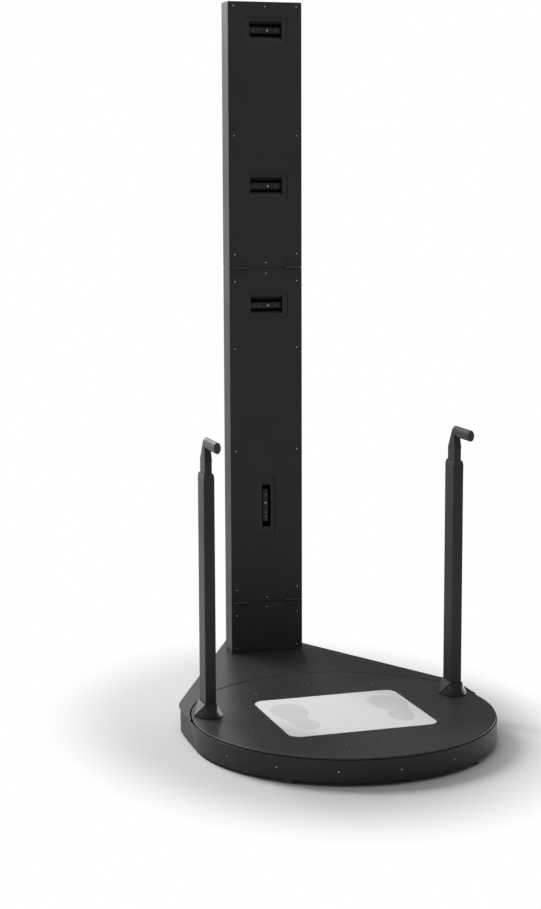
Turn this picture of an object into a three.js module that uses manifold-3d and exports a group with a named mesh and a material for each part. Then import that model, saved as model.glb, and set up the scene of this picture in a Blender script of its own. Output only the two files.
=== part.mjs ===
// Three-dimensional body scanner: a turntable base, a folding mast with four depth
// cameras, and two hand-hold posts. Millimetres, +Z up, +Y towards the mast.
// The origin lies on the floor under the middle of the whole outline.

import * as THREE from "three";
import { mergeVertices } from "three/addons/utils/BufferGeometryUtils.js";
import Module from "manifold-3d";

const wasm = await Module();
wasm.setup();

// Clearances shared by all pieces
const seatGap = 0.3;
const overrun = 10;
const weldDistance = 0.0001;

// Plan of the base
const rimStep = 3;
const flankLength = 207;
const shoulderRadius = 200;
const bayMargin = 45;
const rearWidth = 154;
const rearCornerRadius = 30;
const deckOverhang = 4.5;

// Heights of the base
const floorGap = 9;
const deckTop = 78;
const sheet = 3;
const skirtSheet = 2.5;
const rimGap = 1.3;
const deckLipDepth = 9;
const hornStart = 60;

// Turntable
const discRadius = 433;
const discThickness = 5;
const discGap = 4;

// Slewing bearing
const raceWidth = 40;
const ballRadius = 5.7;
const grooveClearance = 1;
const ballCount = 12;
const ballHeight = 36;
const raceHalfGap = 3;
const cageThickness = 3;
const cageWidth = 28;

// Ring gear and drive pinion
const toothModule = 6;
const ringTeeth = 100;
const pinionTeeth = 18;
const pressureAngle = THREE.MathUtils.degToRad(20);
const backlash = 0.4;
const addendumShare = 0.9;
const dedendumShare = 1.2;
const gearBottom = 44;
const gearThickness = 16;
const gearRim = 12.5;
const pinionShaftRadius = 10;

// Gear motor
const gearboxWidth = 90;
const gearboxLength = 125;
const gearboxHeight = 28.7;
const motorRadius = 25;
const motorLength = 110;
const shaftEngagement = 22;

// Levelling feet
const padRadius = 22;
const stemRadius = 5;
const stemLength = 22;
const frontFootInset = 24;
const frontFootAngle = THREE.MathUtils.degToRad(39);
const shoulderFootInset = 50;
const rearFootSpacing = 124;
const rearFootInset = 42;

// Footplate and load cells
const plateWidth = 435;
const plateDepth = 372;
const plateCornerRadius = 32;
const plateThickness = 3.5;
const plateTop = 0.5;
const plateGap = 4;
const plateOffset = -8;
const cellPlaceXShare = 0.625;
const cellPlaceYShare = 5 / 12;
const cellFlangeRadius = 28;
const cellFlangeThickness = 3;
const cellRadius = 18;

// Hand-hold posts
const postInset = 59;
const postOffset = 94;
const postWidth = 32;
const postDepth = 64;
const postWall = 2.5;
const postCornerRadius = 3;
const collarTop = 695;
const collarHeight = 14;
const collarTopWidth = 27;
const collarTopDepth = 57;
const sleeveLength = 60;
const footWidth = 81;
const footDepth = 106;
const footHeight = 38;
const footEdge = 2;
const footRim = 1.5;

// Sliding handles
const slideWidth = 21.6;
const slideDepth = 51.6;
const slideWall = 2;
const slideClearance = 0.4;
const slideShown = 34;
const slideLength = 380;
const neckHeight = 58;
const neckTopWidth = 17;
const neckTopDepth = 14;
const neckLean = -8;
const gripWidth = 21;
const gripHeight = 32;
const gripLength = 115;
const gripRear = -4;
const gripCentre = 779.5;

// Mast
const mastSetback = 200;
const mastWidth = 236;
const mastDepth = 70;
const mastHeight = 2037.4;
const panelThickness = 3;
const channelSheet = 2.5;
const lipClearance = 18;
const endPlate = 4;
const apronHeight = 30;
const lowerSeam = 163.5;
const upperSeam = 1227.2;
const seamHalfGap = 0.5;
const wiringWidth = 90;
const wiringDepth = 24;

// Butt hinges of the mast
const hingeInset = 6;
const hingeLength = 53;
const hingeReach = 25;
const leafFront = 1.2;
const leafThickness = 1.7;
const knuckleRadius = 4;
const pinRadius = 2;
const axisForward = 1.2;
const knuckleGap = 0.6;
const middleKnuckleShare = 1 / 3;

// Camera windows, and the place of each from the top or from its seam
const wideWindow = {
  openWidth: 138,
  openHeight: 76,
  mouthWidth: 104,
  mouthHeight: 57,
  slotWidth: 104,
  slotHeight: 38,
  troughDepth: 13,
  across: 3,
};
const tallWindow = {
  openWidth: 56,
  openHeight: 185,
  mouthWidth: 41,
  mouthHeight: 160,
  slotWidth: 28,
  slotHeight: 134,
  troughDepth: 3,
  across: 0,
};
const topWindowDrop = 85.1;
const chestWindowRise = 252.3;
const hipWindowDrop = 117.6;
const kneeWindowRise = 310.5;
const windowSheet = 2;
const windowMargin = 6;
const yokeDepth = 2;

// Depth cameras
const cameraLength = 103.4;
const cameraHeight = 18;
const cameraDepth = 23;
const cameraCornerRadius = 2;
const cameraFront = 12;

// Electronics
const supplyWidth = 100;
const supplyLength = 200;
const supplyHeight = 42;
const supplyOffset = 170;
const boardWidth = 110;
const boardLength = 160;
const boardThickness = 2;
const boardLift = 6;
const standoffRadius = 4;
const hubWidth = 120;
const hubHeight = 80;
const hubThickness = 18;
const hubDrop = 311;

// Power inlet with its rocker
const inletWidth = 27.4;
const inletHeight = 47.4;
const inletDepth = 30;
const inletFlange = 6;
const inletFlangeThickness = 2.5;
const socketWidth = 24;
const socketHeight = 17;
const socketDepth = 15;
const socketCentre = -11;
const contactWidth = 2;
const contactHeight = 4;
const contactLength = 11;
const contactSpacing = 7;
const rockerWidth = 18;
const rockerHeight = 12;
const rockerThickness = 8;
const rockerCentre = 13;
const rockerClearance = 1;
const rockerTilt = THREE.MathUtils.degToRad(8);
const rockerWellDepth = 12;

// Mast support under the deck
const supportWidth = 220;
const supportDepth = 62;
const supportWall = 4;

// Curve steps
const outlineSteps = 48;
const ringSteps = 64;
const raceSteps = 48;
const ballSteps = 8;
const cornerSteps = 3;
const plateCornerSteps = 8;
const smallSteps = 16;
const holeSteps = 12;
const grooveSteps = 4;
const ringFlankSteps = 1;
const pinionFlankSteps = 2;

// Places worked out from the sizes above
const frontRadius = discRadius + rimStep;
const cutoutRadius = discRadius + discGap;
const bayLength = supplyLength + 2 * bayMargin;
const baseLength = frontRadius + cutoutRadius + bayLength + mastSetback;
const turntableY = -baseLength / 2 + frontRadius;
const mastY = baseLength / 2 - mastSetback;
const rearY = baseLength / 2;
const wallRearY = rearY - deckOverhang;
const shoulderY = turntableY + flankLength;
const panTop = floorGap + sheet;
const deckUnderside = deckTop - sheet;
const skirtRearTop = deckUnderside - seatGap;
const discUnderside = deckTop - discThickness;
const skirtFrontTop = discUnderside - rimGap;
const plateUnderside = deckTop + plateTop - plateThickness;
const ringPitchRadius = (toothModule * ringTeeth) / 2;
const ringRootRadius = ringPitchRadius - dedendumShare * toothModule;
const raceOuterRadius = ringRootRadius - gearRim - seatGap;
const raceInnerRadius = raceOuterRadius - raceWidth;
const raceMiddleRadius = raceInnerRadius + raceWidth / 2;
const pinionPitchRadius = (toothModule * pinionTeeth) / 2;
const pinionY = turntableY + ringPitchRadius + pinionPitchRadius;
const gearboxTop = panTop + seatGap + gearboxHeight;
const gearboxRear = pinionY + gearboxLength / 2;
const channelFront = panelThickness + seatGap;
const slideBend = collarTop + slideShown;
const hingeAxisY = -axisForward;
const topWindowHeight = mastHeight - topWindowDrop;
const chestWindowHeight = upperSeam + chestWindowRise;
const hipWindowHeight = upperSeam - hipWindowDrop;
const kneeWindowHeight = lowerSeam + kneeWindowRise;
const hubMiddle = hipWindowHeight - hubDrop;

// Finishes
const blackPaint = { color: 0x29292a, roughness: 0.55, metalness: 0.2 };
const deckPaint = { color: 0x343336, roughness: 0.45, metalness: 0.25 };
const blackPlastic = { color: 0x161617, roughness: 0.6, metalness: 0 };
const greyCamera = { color: 0x323639, roughness: 0.4, metalness: 0.3 };
const whiteGlass = { color: 0xebebee, roughness: 0.15, metalness: 0 };
const brightSteel = { color: 0xa9abad, roughness: 0.35, metalness: 0.9 };
const zincSheet = { color: 0x8f9498, roughness: 0.5, metalness: 0.8 };
const greenBoard = { color: 0x1f5a3a, roughness: 0.6, metalness: 0 };

// Turns a closed geometry into a solid that can be joined and cut.
function toSolid(geometry) {
  const loose = geometry.index ? geometry.toNonIndexed() : geometry;
  const bare = new THREE.BufferGeometry();
  bare.setAttribute("position", loose.getAttribute("position"));
  const merged = mergeVertices(bare, weldDistance);
  const vertProperties = merged.getAttribute("position").array;
  const triVerts = new Uint32Array(merged.index.array);
  return new wasm.Manifold(new wasm.Mesh({ numProp: 3, vertProperties, triVerts }));
}

// Turns a solid back into a geometry.
function toGeometry(solid) {
  const { vertProperties, triVerts } = solid.getMesh();
  const geometry = new THREE.BufferGeometry();
  geometry.setAttribute("position", new THREE.BufferAttribute(vertProperties, 3));
  geometry.setIndex(new THREE.BufferAttribute(triVerts, 1));
  return geometry;
}

function join(first, ...others) {
  return toGeometry(others.reduce((whole, piece) => whole.add(toSolid(piece)), toSolid(first)));
}

function cut(first, ...tools) {
  return toGeometry(tools.reduce((whole, tool) => whole.subtract(toSolid(tool)), toSolid(first)));
}

function common(first, second) {
  return toGeometry(toSolid(first).intersect(toSolid(second)));
}

// One named piece with its finish.
function piece(name, geometry, finish) {
  geometry.computeVertexNormals();
  const mesh = new THREE.Mesh(geometry, new THREE.MeshStandardMaterial(finish));
  mesh.name = name;
  return mesh;
}

// A group of pieces standing at one place.
function placed(x, y, z, ...members) {
  const group = new THREE.Group();
  group.position.set(x, y, z);
  group.add(...members);
  return group;
}

// A box between two limits along each axis.
function block([x0, x1], [y0, y1], [z0, z1]) {
  const geometry = new THREE.BoxGeometry(x1 - x0, y1 - y0, z1 - z0);
  return geometry.translate((x0 + x1) / 2, (y0 + y1) / 2, (z0 + z1) / 2);
}

// A block whose top rectangle differs from its bottom one.
function taperedBlock(bottom, top, [z0, z1]) {
  const geometry = new THREE.BoxGeometry();
  const corners = geometry.getAttribute("position");
  for (let i = 0; i < corners.count; i += 1) {
    const isTop = corners.getZ(i) > 0;
    const end = isTop ? top : bottom;
    const x = corners.getX(i) * end.width;
    const y = corners.getY(i) * end.depth + (end.shift ?? 0);
    corners.setXYZ(i, x, y, isTop ? z1 : z0);
  }
  return geometry;
}

// An upright prism on an outline, with holes.
function prism(outline, [bottom, top], holes = []) {
  const shape = new THREE.Shape(outline);
  holes.forEach((hole) => shape.holes.push(new THREE.Path(hole)));
  const geometry = new THREE.ExtrudeGeometry(shape, { depth: top - bottom, bevelEnabled: false });
  return geometry.translate(0, 0, bottom);
}

// A ring or a round body turned about the upright axis from a closed profile of
// radius and height, which runs anticlockwise.
function revolve(profile, steps) {
  const points = profile.map(([radius, height]) => new THREE.Vector2(radius, height));
  return new THREE.LatheGeometry([...points, points[0]], steps).rotateX(Math.PI / 2);
}

function upright(radius, [bottom, top], steps = smallSteps) {
  const geometry = new THREE.CylinderGeometry(radius, radius, top - bottom, steps);
  return geometry.rotateX(Math.PI / 2).translate(0, 0, (bottom + top) / 2);
}

// A cylinder along X.
function rod(radius, [x0, x1], steps = smallSteps) {
  const geometry = new THREE.CylinderGeometry(radius, radius, x1 - x0, steps);
  return geometry.rotateZ(Math.PI / 2).translate((x0 + x1) / 2, 0, 0);
}

// Points on an arc, both ends included.
function arc(centre, radius, from, to, steps) {
  return Array.from({ length: steps + 1 }, (_, i) => {
    const angle = from + ((to - from) * i) / steps;
    const x = centre.x + radius * Math.cos(angle);
    return new THREE.Vector2(x, centre.y + radius * Math.sin(angle));
  });
}

function oval(width, depth, steps = ringSteps) {
  return Array.from({ length: steps }, (_, i) => {
    const angle = (2 * Math.PI * i) / steps;
    return new THREE.Vector2((width / 2) * Math.cos(angle), (depth / 2) * Math.sin(angle));
  });
}

function circle(radius, steps = ringSteps) {
  return oval(2 * radius, 2 * radius, steps);
}

function roundedRectangle(width, depth, radius, steps = cornerSteps) {
  const x = width / 2 - radius;
  const y = depth / 2 - radius;
  const centres = [[x, y], [-x, y], [-x, -y], [x, -y]];
  return centres.flatMap(([cx, cy], quarter) => {
    const from = (quarter * Math.PI) / 2;
    return arc(new THREE.Vector2(cx, cy), radius, from, from + Math.PI / 2, steps);
  });
}

// The corner of a loop that runs anticlockwise, moved inwards by the inset from both
// of its sides.
function insetCorner(before, corner, after, inset) {
  const incoming = corner.clone().sub(before).normalize();
  const outgoing = after.clone().sub(corner).normalize();
  const turn = Math.atan2(incoming.cross(outgoing), incoming.dot(outgoing));
  const inwards = new THREE.Vector2(-incoming.y, incoming.x).multiplyScalar(inset);
  const along = incoming.clone().multiplyScalar(-inset * Math.tan(turn / 2));
  return corner.clone().add(inwards).add(along);
}

// The arc that rounds a convex corner.
function roundedCorner(before, corner, after, radius) {
  const incoming = corner.clone().sub(before).normalize();
  const outgoing = after.clone().sub(corner).normalize();
  const turn = Math.atan2(incoming.cross(outgoing), incoming.dot(outgoing));
  const start = corner.clone().addScaledVector(incoming, -radius * Math.tan(turn / 2));
  const inwards = new THREE.Vector2(-incoming.y, incoming.x).multiplyScalar(radius);
  const centre = start.clone().add(inwards);
  const first = Math.atan2(-inwards.y, -inwards.x);
  return arc(centre, radius, first, first + turn, cornerSteps);
}

// The plan of the base, moved inwards by the inset: a half circle at the front,
// straight flanks, rounded shoulders and straight sides that close in on the rear.
// The setback moves shoulders, sides and rear further inwards than the half circle.
function basePlan(inset, setback = 0) {
  const moved = inset + setback;
  const loop = [
    new THREE.Vector2(frontRadius, turntableY),
    new THREE.Vector2(frontRadius, shoulderY),
    new THREE.Vector2(rearWidth / 2, rearY),
    new THREE.Vector2(-rearWidth / 2, rearY),
    new THREE.Vector2(-frontRadius, shoulderY),
    new THREE.Vector2(-frontRadius, turntableY),
  ];
  const radii = [shoulderRadius, rearCornerRadius, rearCornerRadius, shoulderRadius];
  const inner = loop.map((corner, i) => {
    const isEnd = i === 0 || i === loop.length - 1;
    const side = new THREE.Vector2(Math.sign(corner.x) * (frontRadius - inset), corner.y);
    return isEnd ? side : insetCorner(loop[i - 1], corner, loop[i + 1], moved);
  });
  const rounded = radii.flatMap((radius, i) =>
    roundedCorner(inner[i], inner[i + 1], inner[i + 2], radius - moved),
  );
  const centre = new THREE.Vector2(0, turntableY);
  return [...rounded, ...arc(centre, frontRadius - inset, Math.PI, 2 * Math.PI, outlineSteps)];
}

// The floor sheet, with a hole for each foot's stem.
function basePan() {
  const plan = basePlan(skirtSheet + seatGap, deckOverhang);
  const holes = footPlaces().map(({ x, y }) =>
    circle(stemRadius + seatGap, holeSteps).map((p) => p.add(new THREE.Vector2(x, y))),
  );
  return piece("base_pan", prism(plan, [floorGap, panTop], holes), zincSheet);
}

// The wall round the base. It is lower where the disc overhangs it, and behind the disc
// the deck overhangs it.
function baseSkirt() {
  const holes = [basePlan(skirtSheet, deckOverhang)];
  const wall = prism(basePlan(0, deckOverhang), [floorGap, skirtRearTop], holes);
  const acrossBase = [-frontRadius - overrun, frontRadius + overrun];
  const underDisc = [turntableY - frontRadius - overrun, turntableY + hornStart - seatGap];
  const lowered = block(acrossBase, underDisc, [skirtFrontTop, skirtRearTop + overrun]);
  const inletX = inletWidth / 2 + seatGap;
  const inletMiddle = (floorGap + skirtRearTop) / 2;
  const inletZ = inletHeight / 2 + seatGap;
  const throughWall = [wallRearY - skirtSheet - overrun, wallRearY + overrun];
  const inletHole = block([-inletX, inletX], throughWall, [inletMiddle - inletZ, inletMiddle + inletZ]);
  return piece("base_skirt", cut(wall, lowered, inletHole), blackPaint);
}

// The top sheet round the back of the disc, with a lip folded down at its cut-out.
function deckCover() {
  const sheetPlate = prism(basePlan(0), [deckUnderside, deckTop]);
  const lipBottom = deckTop - sheet - deckLipDepth;
  const lipRing = prism(circle(cutoutRadius + skirtSheet, 2 * ringSteps), [lipBottom, deckTop]);
  const insidePlan = basePlan(skirtSheet + seatGap, deckOverhang);
  const insideSkirt = prism(insidePlan, [lipBottom, deckTop]);
  const lip = common(lipRing.translate(0, turntableY, 0), insideSkirt);
  const discHole = prism(circle(cutoutRadius, 2 * ringSteps), [lipBottom - overrun, deckTop + overrun]);
  const acrossBase = [-frontRadius - overrun, frontRadius + overrun];
  const beforeHorns = [turntableY - frontRadius - overrun, turntableY + hornStart];
  const frontHalf = block(acrossBase, beforeHorns, [lipBottom - overrun, deckTop + overrun]);
  const wiringX = [-wiringWidth / 2, wiringWidth / 2];
  const wiringMiddle = mastY + mastDepth / 2;
  const wiringY = [wiringMiddle - wiringDepth / 2, wiringMiddle + wiringDepth / 2];
  const wiringHole = block(wiringX, wiringY, [deckUnderside - overrun, deckTop + overrun]);
  discHole.translate(0, turntableY, 0);
  const geometry = cut(join(sheetPlate, lip), discHole, frontHalf, wiringHole);
  return piece("deck_cover", geometry, deckPaint);
}

// Where the six levelling feet stand.
function footPlaces() {
  const footRadius = frontRadius - frontFootInset;
  const frontX = footRadius * Math.sin(frontFootAngle);
  const frontY = turntableY - footRadius * Math.cos(frontFootAngle);
  const shoulderX = frontRadius - shoulderFootInset;
  const rearX = rearFootSpacing / 2;
  return [
    { name: "foot_front_left", x: -frontX, y: frontY },
    { name: "foot_front_right", x: frontX, y: frontY },
    { name: "foot_middle_left", x: -shoulderX, y: shoulderY },
    { name: "foot_middle_right", x: shoulderX, y: shoulderY },
    { name: "foot_rear_left", x: -rearX, y: rearY - rearFootInset },
    { name: "foot_rear_right", x: rearX, y: rearY - rearFootInset },
  ];
}

// One levelling foot: a pad on the floor and a stem through the pan.
function levellingFoot({ name, x, y }) {
  const pad = upright(padRadius, [0, floorGap - seatGap]);
  const stem = upright(stemRadius, [floorGap / 2, stemLength], holeSteps);
  return placed(x, y, 0, piece(name, join(pad, stem), blackPlastic));
}

// The groove that the balls run in, as points from the outer edge to the inner one.
function groove(edgeHeight) {
  const side = Math.sign(edgeHeight - ballHeight);
  const radius = ballRadius + grooveClearance;
  const reach = Math.asin(raceHalfGap / radius);
  const centre = new THREE.Vector2(raceMiddleRadius, ballHeight);
  const points = arc(centre, radius, side * reach, side * (Math.PI - reach), grooveSteps);
  return points.map((point) => [point.x, point.y]);
}

function lowerRace() {
  const bottom = panTop + seatGap;
  const top = ballHeight - raceHalfGap;
  const outer = [[raceInnerRadius, bottom], [raceOuterRadius, bottom], [raceOuterRadius, top]];
  const profile = [...outer, ...groove(top), [raceInnerRadius, top]];
  return piece("bearing_lower_race", revolve(profile, raceSteps), brightSteel);
}

function upperRace() {
  const bottom = ballHeight + raceHalfGap;
  const top = discUnderside - seatGap;
  const inner = [[raceOuterRadius, top], [raceInnerRadius, top], [raceInnerRadius, bottom]];
  const profile = [...inner, ...groove(bottom).reverse(), [raceOuterRadius, bottom]];
  return piece("bearing_upper_race", revolve(profile, raceSteps), brightSteel);
}

// The balls, held by their cage ring.
function ballCage() {
  const inner = raceMiddleRadius - cageWidth / 2;
  const outer = raceMiddleRadius + cageWidth / 2;
  const heights = [ballHeight - cageThickness / 2, ballHeight + cageThickness / 2];
  const ring = prism(circle(outer, raceSteps), heights, [circle(inner, raceSteps)]);
  const balls = Array.from({ length: ballCount }, (_, i) => {
    const angle = (2 * Math.PI * i) / ballCount;
    const ball = new THREE.SphereGeometry(ballRadius, ballSteps, ballSteps / 2);
    const x = raceMiddleRadius * Math.cos(angle);
    return ball.rotateX(Math.PI / 2).translate(x, raceMiddleRadius * Math.sin(angle), ballHeight);
  });
  return piece("ball_cage", join(ring, ...balls), brightSteel);
}

function involute(angle) {
  return Math.tan(angle) - angle;
}

// Half of the angle that one tooth spans at a radius.
function toothHalfAngle(radius, pitchRadius, teeth) {
  const baseRadius = pitchRadius * Math.cos(pressureAngle);
  const flankAngle = Math.acos(Math.min(1, baseRadius / radius));
  const atPitch = Math.PI / (2 * teeth) - backlash / 2 / pitchRadius;
  return atPitch + involute(pressureAngle) - involute(flankAngle);
}

// The outline of a spur gear with involute teeth, the first one pointing along +X.
function gearOutline(teeth, flankSteps) {
  const pitchRadius = (toothModule * teeth) / 2;
  const rootRadius = pitchRadius - dedendumShare * toothModule;
  const tipRadius = pitchRadius + addendumShare * toothModule;
  const flankStart = Math.max(rootRadius, pitchRadius * Math.cos(pressureAngle));
  const flank = Array.from({ length: flankSteps + 1 }, (_, i) => {
    const radius = flankStart + ((tipRadius - flankStart) * i) / flankSteps;
    return [radius, toothHalfAngle(radius, pitchRadius, teeth)];
  });
  const rootPoint = flankStart > rootRadius ? [[rootRadius, flank[0][1]]] : [];
  const rising = [...rootPoint, ...flank];
  return Array.from({ length: teeth }, (_, tooth) => {
    const middle = (2 * Math.PI * tooth) / teeth;
    const up = rising.map(([radius, half]) => [radius, middle - half]);
    const down = rising.map(([radius, half]) => [radius, middle + half]).reverse();
    return [...up, ...down].map(([r, a]) => new THREE.Vector2(r * Math.cos(a), r * Math.sin(a)));
  }).flat();
}

function ringGear() {
  const bore = circle(raceOuterRadius + seatGap);
  const teeth = gearOutline(ringTeeth, ringFlankSteps);
  const geometry = prism(teeth, [gearBottom, gearBottom + gearThickness], [bore]);
  return piece("turntable_gear", geometry, brightSteel);
}

// The pinion, in one piece with the shaft that stands in the gearbox.
function drivePinion() {
  const outline = gearOutline(pinionTeeth, pinionFlankSteps);
  const teeth = prism(outline, [gearBottom, gearBottom + gearThickness]);
  const shaft = upright(pinionShaftRadius, [gearboxTop - shaftEngagement, gearBottom + overrun]);
  return piece("drive_pinion", join(teeth, shaft), brightSteel);
}

function gearbox() {
  const bottom = panTop + seatGap;
  const x = [-gearboxWidth / 2, gearboxWidth / 2];
  const y = [-gearboxLength / 2, gearboxLength / 2];
  const housing = block(x, y, [bottom, gearboxTop]);
  const boreBottom = gearboxTop - shaftEngagement - seatGap;
  const bore = upright(pinionShaftRadius + seatGap, [boreBottom, gearboxTop + overrun]);
  return piece("gearbox_housing", cut(housing, bore), zincSheet);
}

function driveMotor() {
  const can = new THREE.CylinderGeometry(motorRadius, motorRadius, motorLength, ringSteps / 2);
  const y = gearboxRear + seatGap + motorLength / 2;
  return piece("drive_motor", can.translate(0, y, panTop + seatGap + motorRadius), brightSteel);
}

// The upright box that carries the mast between pan and deck.
function mastSupport() {
  const outer = roundedRectangle(supportWidth, supportDepth, supportWall);
  const innerWidth = supportWidth - 2 * supportWall;
  const inner = roundedRectangle(innerWidth, supportDepth - 2 * supportWall, supportWall / 2);
  const geometry = prism(outer, [panTop + seatGap, deckUnderside - seatGap], [inner]);
  return placed(0, mastY + mastDepth / 2, 0, piece("mast_support", geometry, zincSheet));
}

function powerSupply() {
  const x = [-supplyWidth / 2, supplyWidth / 2];
  const y = [-supplyLength / 2, supplyLength / 2];
  const bottom = panTop + seatGap;
  const can = block(x, y, [bottom, bottom + supplyHeight]);
  const middle = (turntableY + cutoutRadius + mastY) / 2;
  return placed(-supplyOffset + supplyWidth / 2, middle, 0, piece("power_supply", can, zincSheet));
}

// The control board on its four standoffs.
function controlBoard() {
  const bottom = panTop + seatGap;
  const x = [-boardWidth / 2, boardWidth / 2];
  const y = [-boardLength / 2, boardLength / 2];
  const board = block(x, y, [bottom + boardLift, bottom + boardLift + boardThickness]);
  const inset = 2 * standoffRadius;
  const moveIn = (edge) => edge - Math.sign(edge) * inset;
  const corners = x.flatMap((cx) => y.map((cy) => [moveIn(cx), moveIn(cy)]));
  const heights = [bottom, bottom + boardLift + boardThickness / 2];
  const standoffs = corners.map(([cx, cy]) =>
    upright(standoffRadius, heights, holeSteps).translate(cx, cy, 0),
  );
  const middle = (turntableY + cutoutRadius + mastY) / 2;
  const whole = piece("control_board", join(board, ...standoffs), greenBoard);
  return placed(supplyOffset - boardWidth / 2, middle, 0, whole);
}

// The inlet module, its face level with the rear wall: a socket with three contacts
// below and the well of the rocker above.
function powerInlet() {
  const face = -seatGap;
  const x = [-inletWidth / 2, inletWidth / 2];
  const z = [-inletHeight / 2, inletHeight / 2];
  const body = block(x, [face - inletDepth, face], z);
  const behindWall = -skirtSheet - seatGap;
  const flangeX = [x[0] - inletFlange, x[1] + inletFlange];
  const flangeZ = [z[0] - seatGap - sheet / 2, z[1] + seatGap + sheet / 2];
  const flange = block(flangeX, [behindWall - inletFlangeThickness, behindWall], flangeZ);
  const socketX = [-socketWidth / 2, socketWidth / 2];
  const socketZ = [socketCentre - socketHeight / 2, socketCentre + socketHeight / 2];
  const socket = block(socketX, [face - socketDepth, face + overrun], socketZ);
  const wellX = rockerWidth / 2 + seatGap;
  const wellZ = rockerHeight / 2 + rockerClearance;
  const wellHeights = [rockerCentre - wellZ, rockerCentre + wellZ];
  const well = block([-wellX, wellX], [face - rockerWellDepth, face + overrun], wellHeights);
  const contacts = [-1, 0, 1].map((step) => {
    const middle = step * contactSpacing;
    const contactX = [middle - contactWidth / 2, middle + contactWidth / 2];
    const contactZ = [socketCentre - contactHeight / 2, socketCentre + contactHeight / 2];
    const root = face - socketDepth;
    return block(contactX, [root - contactWidth, root + contactLength], contactZ);
  });
  const geometry = join(cut(join(body, flange), socket, well), ...contacts);
  return piece("power_inlet", geometry, blackPlastic);
}

// The rocker, tilted to off, with its two sloping faces and its pivot at its middle.
function powerRocker() {
  const half = rockerHeight / 2;
  const depth = rockerThickness / 2;
  const dip = Math.tan(rockerTilt) * half;
  const profile = [
    new THREE.Vector2(-depth, -half),
    new THREE.Vector2(depth, -half),
    new THREE.Vector2(depth - dip, 0),
    new THREE.Vector2(depth, half),
    new THREE.Vector2(-depth, half),
  ];
  const geometry = new THREE.ExtrudeGeometry(new THREE.Shape(profile), {
    depth: rockerWidth,
    bevelEnabled: false,
  });
  geometry.translate(0, 0, -rockerWidth / 2);
  geometry.rotateY(Math.PI / 2).rotateX(Math.PI / 2);
  geometry.rotateX(-rockerTilt);
  return piece("power_rocker", geometry, blackPlastic);
}

function powerEntry() {
  const middle = (floorGap + skirtRearTop) / 2;
  const pivotDepth = -seatGap - rockerThickness / 2 - rockerClearance;
  const rocker = placed(0, pivotDepth, rockerCentre, powerRocker());
  return placed(0, wallRearY, middle, powerInlet(), rocker);
}

// The disc, with a shallow pocket for the footplate and in it a hole for each load cell.
function turntableDisc() {
  const holes = cellPlaces().map(([x, y]) =>
    circle(cellRadius + 2 * seatGap, smallSteps).map((point) => point.add(new THREE.Vector2(x, y))),
  );
  const disc = prism(circle(discRadius, 2 * ringSteps), [discUnderside, deckTop], holes);
  const pocketHeights = [plateUnderside - seatGap, deckTop + overrun];
  const pocket = prism(plateOutline(plateGap), pocketHeights).translate(0, plateOffset, 0);
  return piece("turntable_disc", cut(disc, pocket), deckPaint);
}

function cellPlaces() {
  const x = cellPlaceXShare * raceInnerRadius;
  const y = cellPlaceYShare * raceInnerRadius;
  return [[-x, y], [x, y], [-x, -y], [x, -y]].map(([cx, cy]) => [cx, cy + plateOffset]);
}

// The load cells hang from the disc by their flanges and reach up to the footplate.
function loadCells() {
  const flangeTop = discUnderside - seatGap;
  const flangeHeights = [flangeTop - cellFlangeThickness, flangeTop];
  const cellTop = plateUnderside - seatGap;
  return cellPlaces().map(([x, y], i) => {
    const flange = upright(cellFlangeRadius, flangeHeights);
    const button = upright(cellRadius, [flangeHeights[0] + cellFlangeThickness / 2, cellTop]);
    return placed(x, y, 0, piece(`load_cell_${i + 1}`, join(flange, button), brightSteel));
  });
}

// The footplate's outline, moved outwards by the margin.
function plateOutline(margin) {
  const width = plateWidth + 2 * margin;
  return roundedRectangle(width, plateDepth + 2 * margin, plateCornerRadius + margin, plateCornerSteps);
}

function footplate() {
  const geometry = prism(plateOutline(0), [plateUnderside, plateUnderside + plateThickness]);
  return placed(0, plateOffset, 0, piece("footplate", geometry, whiteGlass));
}

// A transition from an oval below to a rectangle above: four flat triangles, one to
// each side of the rectangle, and four cone quarters, one to each of its corners.
function ovalToRectangle(bottom, top, heights) {
  const [low, edge, high] = heights;
  const ring = oval(bottom.width, bottom.depth, ringSteps / 2);
  const quarter = ring.length / 4;
  const x = top.width / 2;
  const y = top.depth / 2;
  const corners = [[x, y], [-x, y], [-x, -y], [x, -y]].map(([cx, cy]) => [cx, cy, high]);
  const points = [];
  const triangle = (...vertices) => points.push(...vertices.flat());
  const at = (i, height) => [ring[i % ring.length].x, ring[i % ring.length].y, height];
  for (let i = 0; i < ring.length; i += 1) {
    const corner = corners[Math.floor(i / quarter)];
    triangle(at(i, edge), at(i + 1, edge), corner);
    triangle(at(i, low), at(i + 1, low), at(i + 1, edge));
    triangle(at(i, low), at(i + 1, edge), at(i, edge));
    triangle([0, 0, low], at(i + 1, low), at(i, low));
  }
  corners.forEach((corner, i) => {
    const next = corners[(i + 1) % corners.length];
    triangle(at((i + 1) * quarter, edge), next, corner);
    triangle([0, 0, high], corner, next);
  });
  const geometry = new THREE.BufferGeometry();
  geometry.setAttribute("position", new THREE.Float32BufferAttribute(points, 3));
  return geometry;
}

// The foot of a post, with the socket that holds the tube.
function postFoot(side) {
  const bottom = { width: footWidth, depth: footDepth };
  const rim = 2 * (footRim + seatGap);
  const top = { width: postWidth + rim, depth: postDepth + rim };
  const outer = ovalToRectangle(bottom, top, [seatGap, seatGap + footEdge, footHeight]);
  const width = postWidth + 2 * seatGap;
  const socketOutline = roundedRectangle(width, postDepth + 2 * seatGap, postCornerRadius);
  const socket = prism(socketOutline, [-overrun, footHeight + overrun]);
  return piece(`${side}_post_foot`, cut(outer, socket), deckPaint);
}

// A rectangular tube with rounded edges.
function tubeGeometry(width, depth, wall, heights) {
  const outer = roundedRectangle(width, depth, postCornerRadius);
  const inner = roundedRectangle(width - 2 * wall, depth - 2 * wall, postCornerRadius - wall / 2);
  return prism(outer, heights, [inner]);
}

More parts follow.
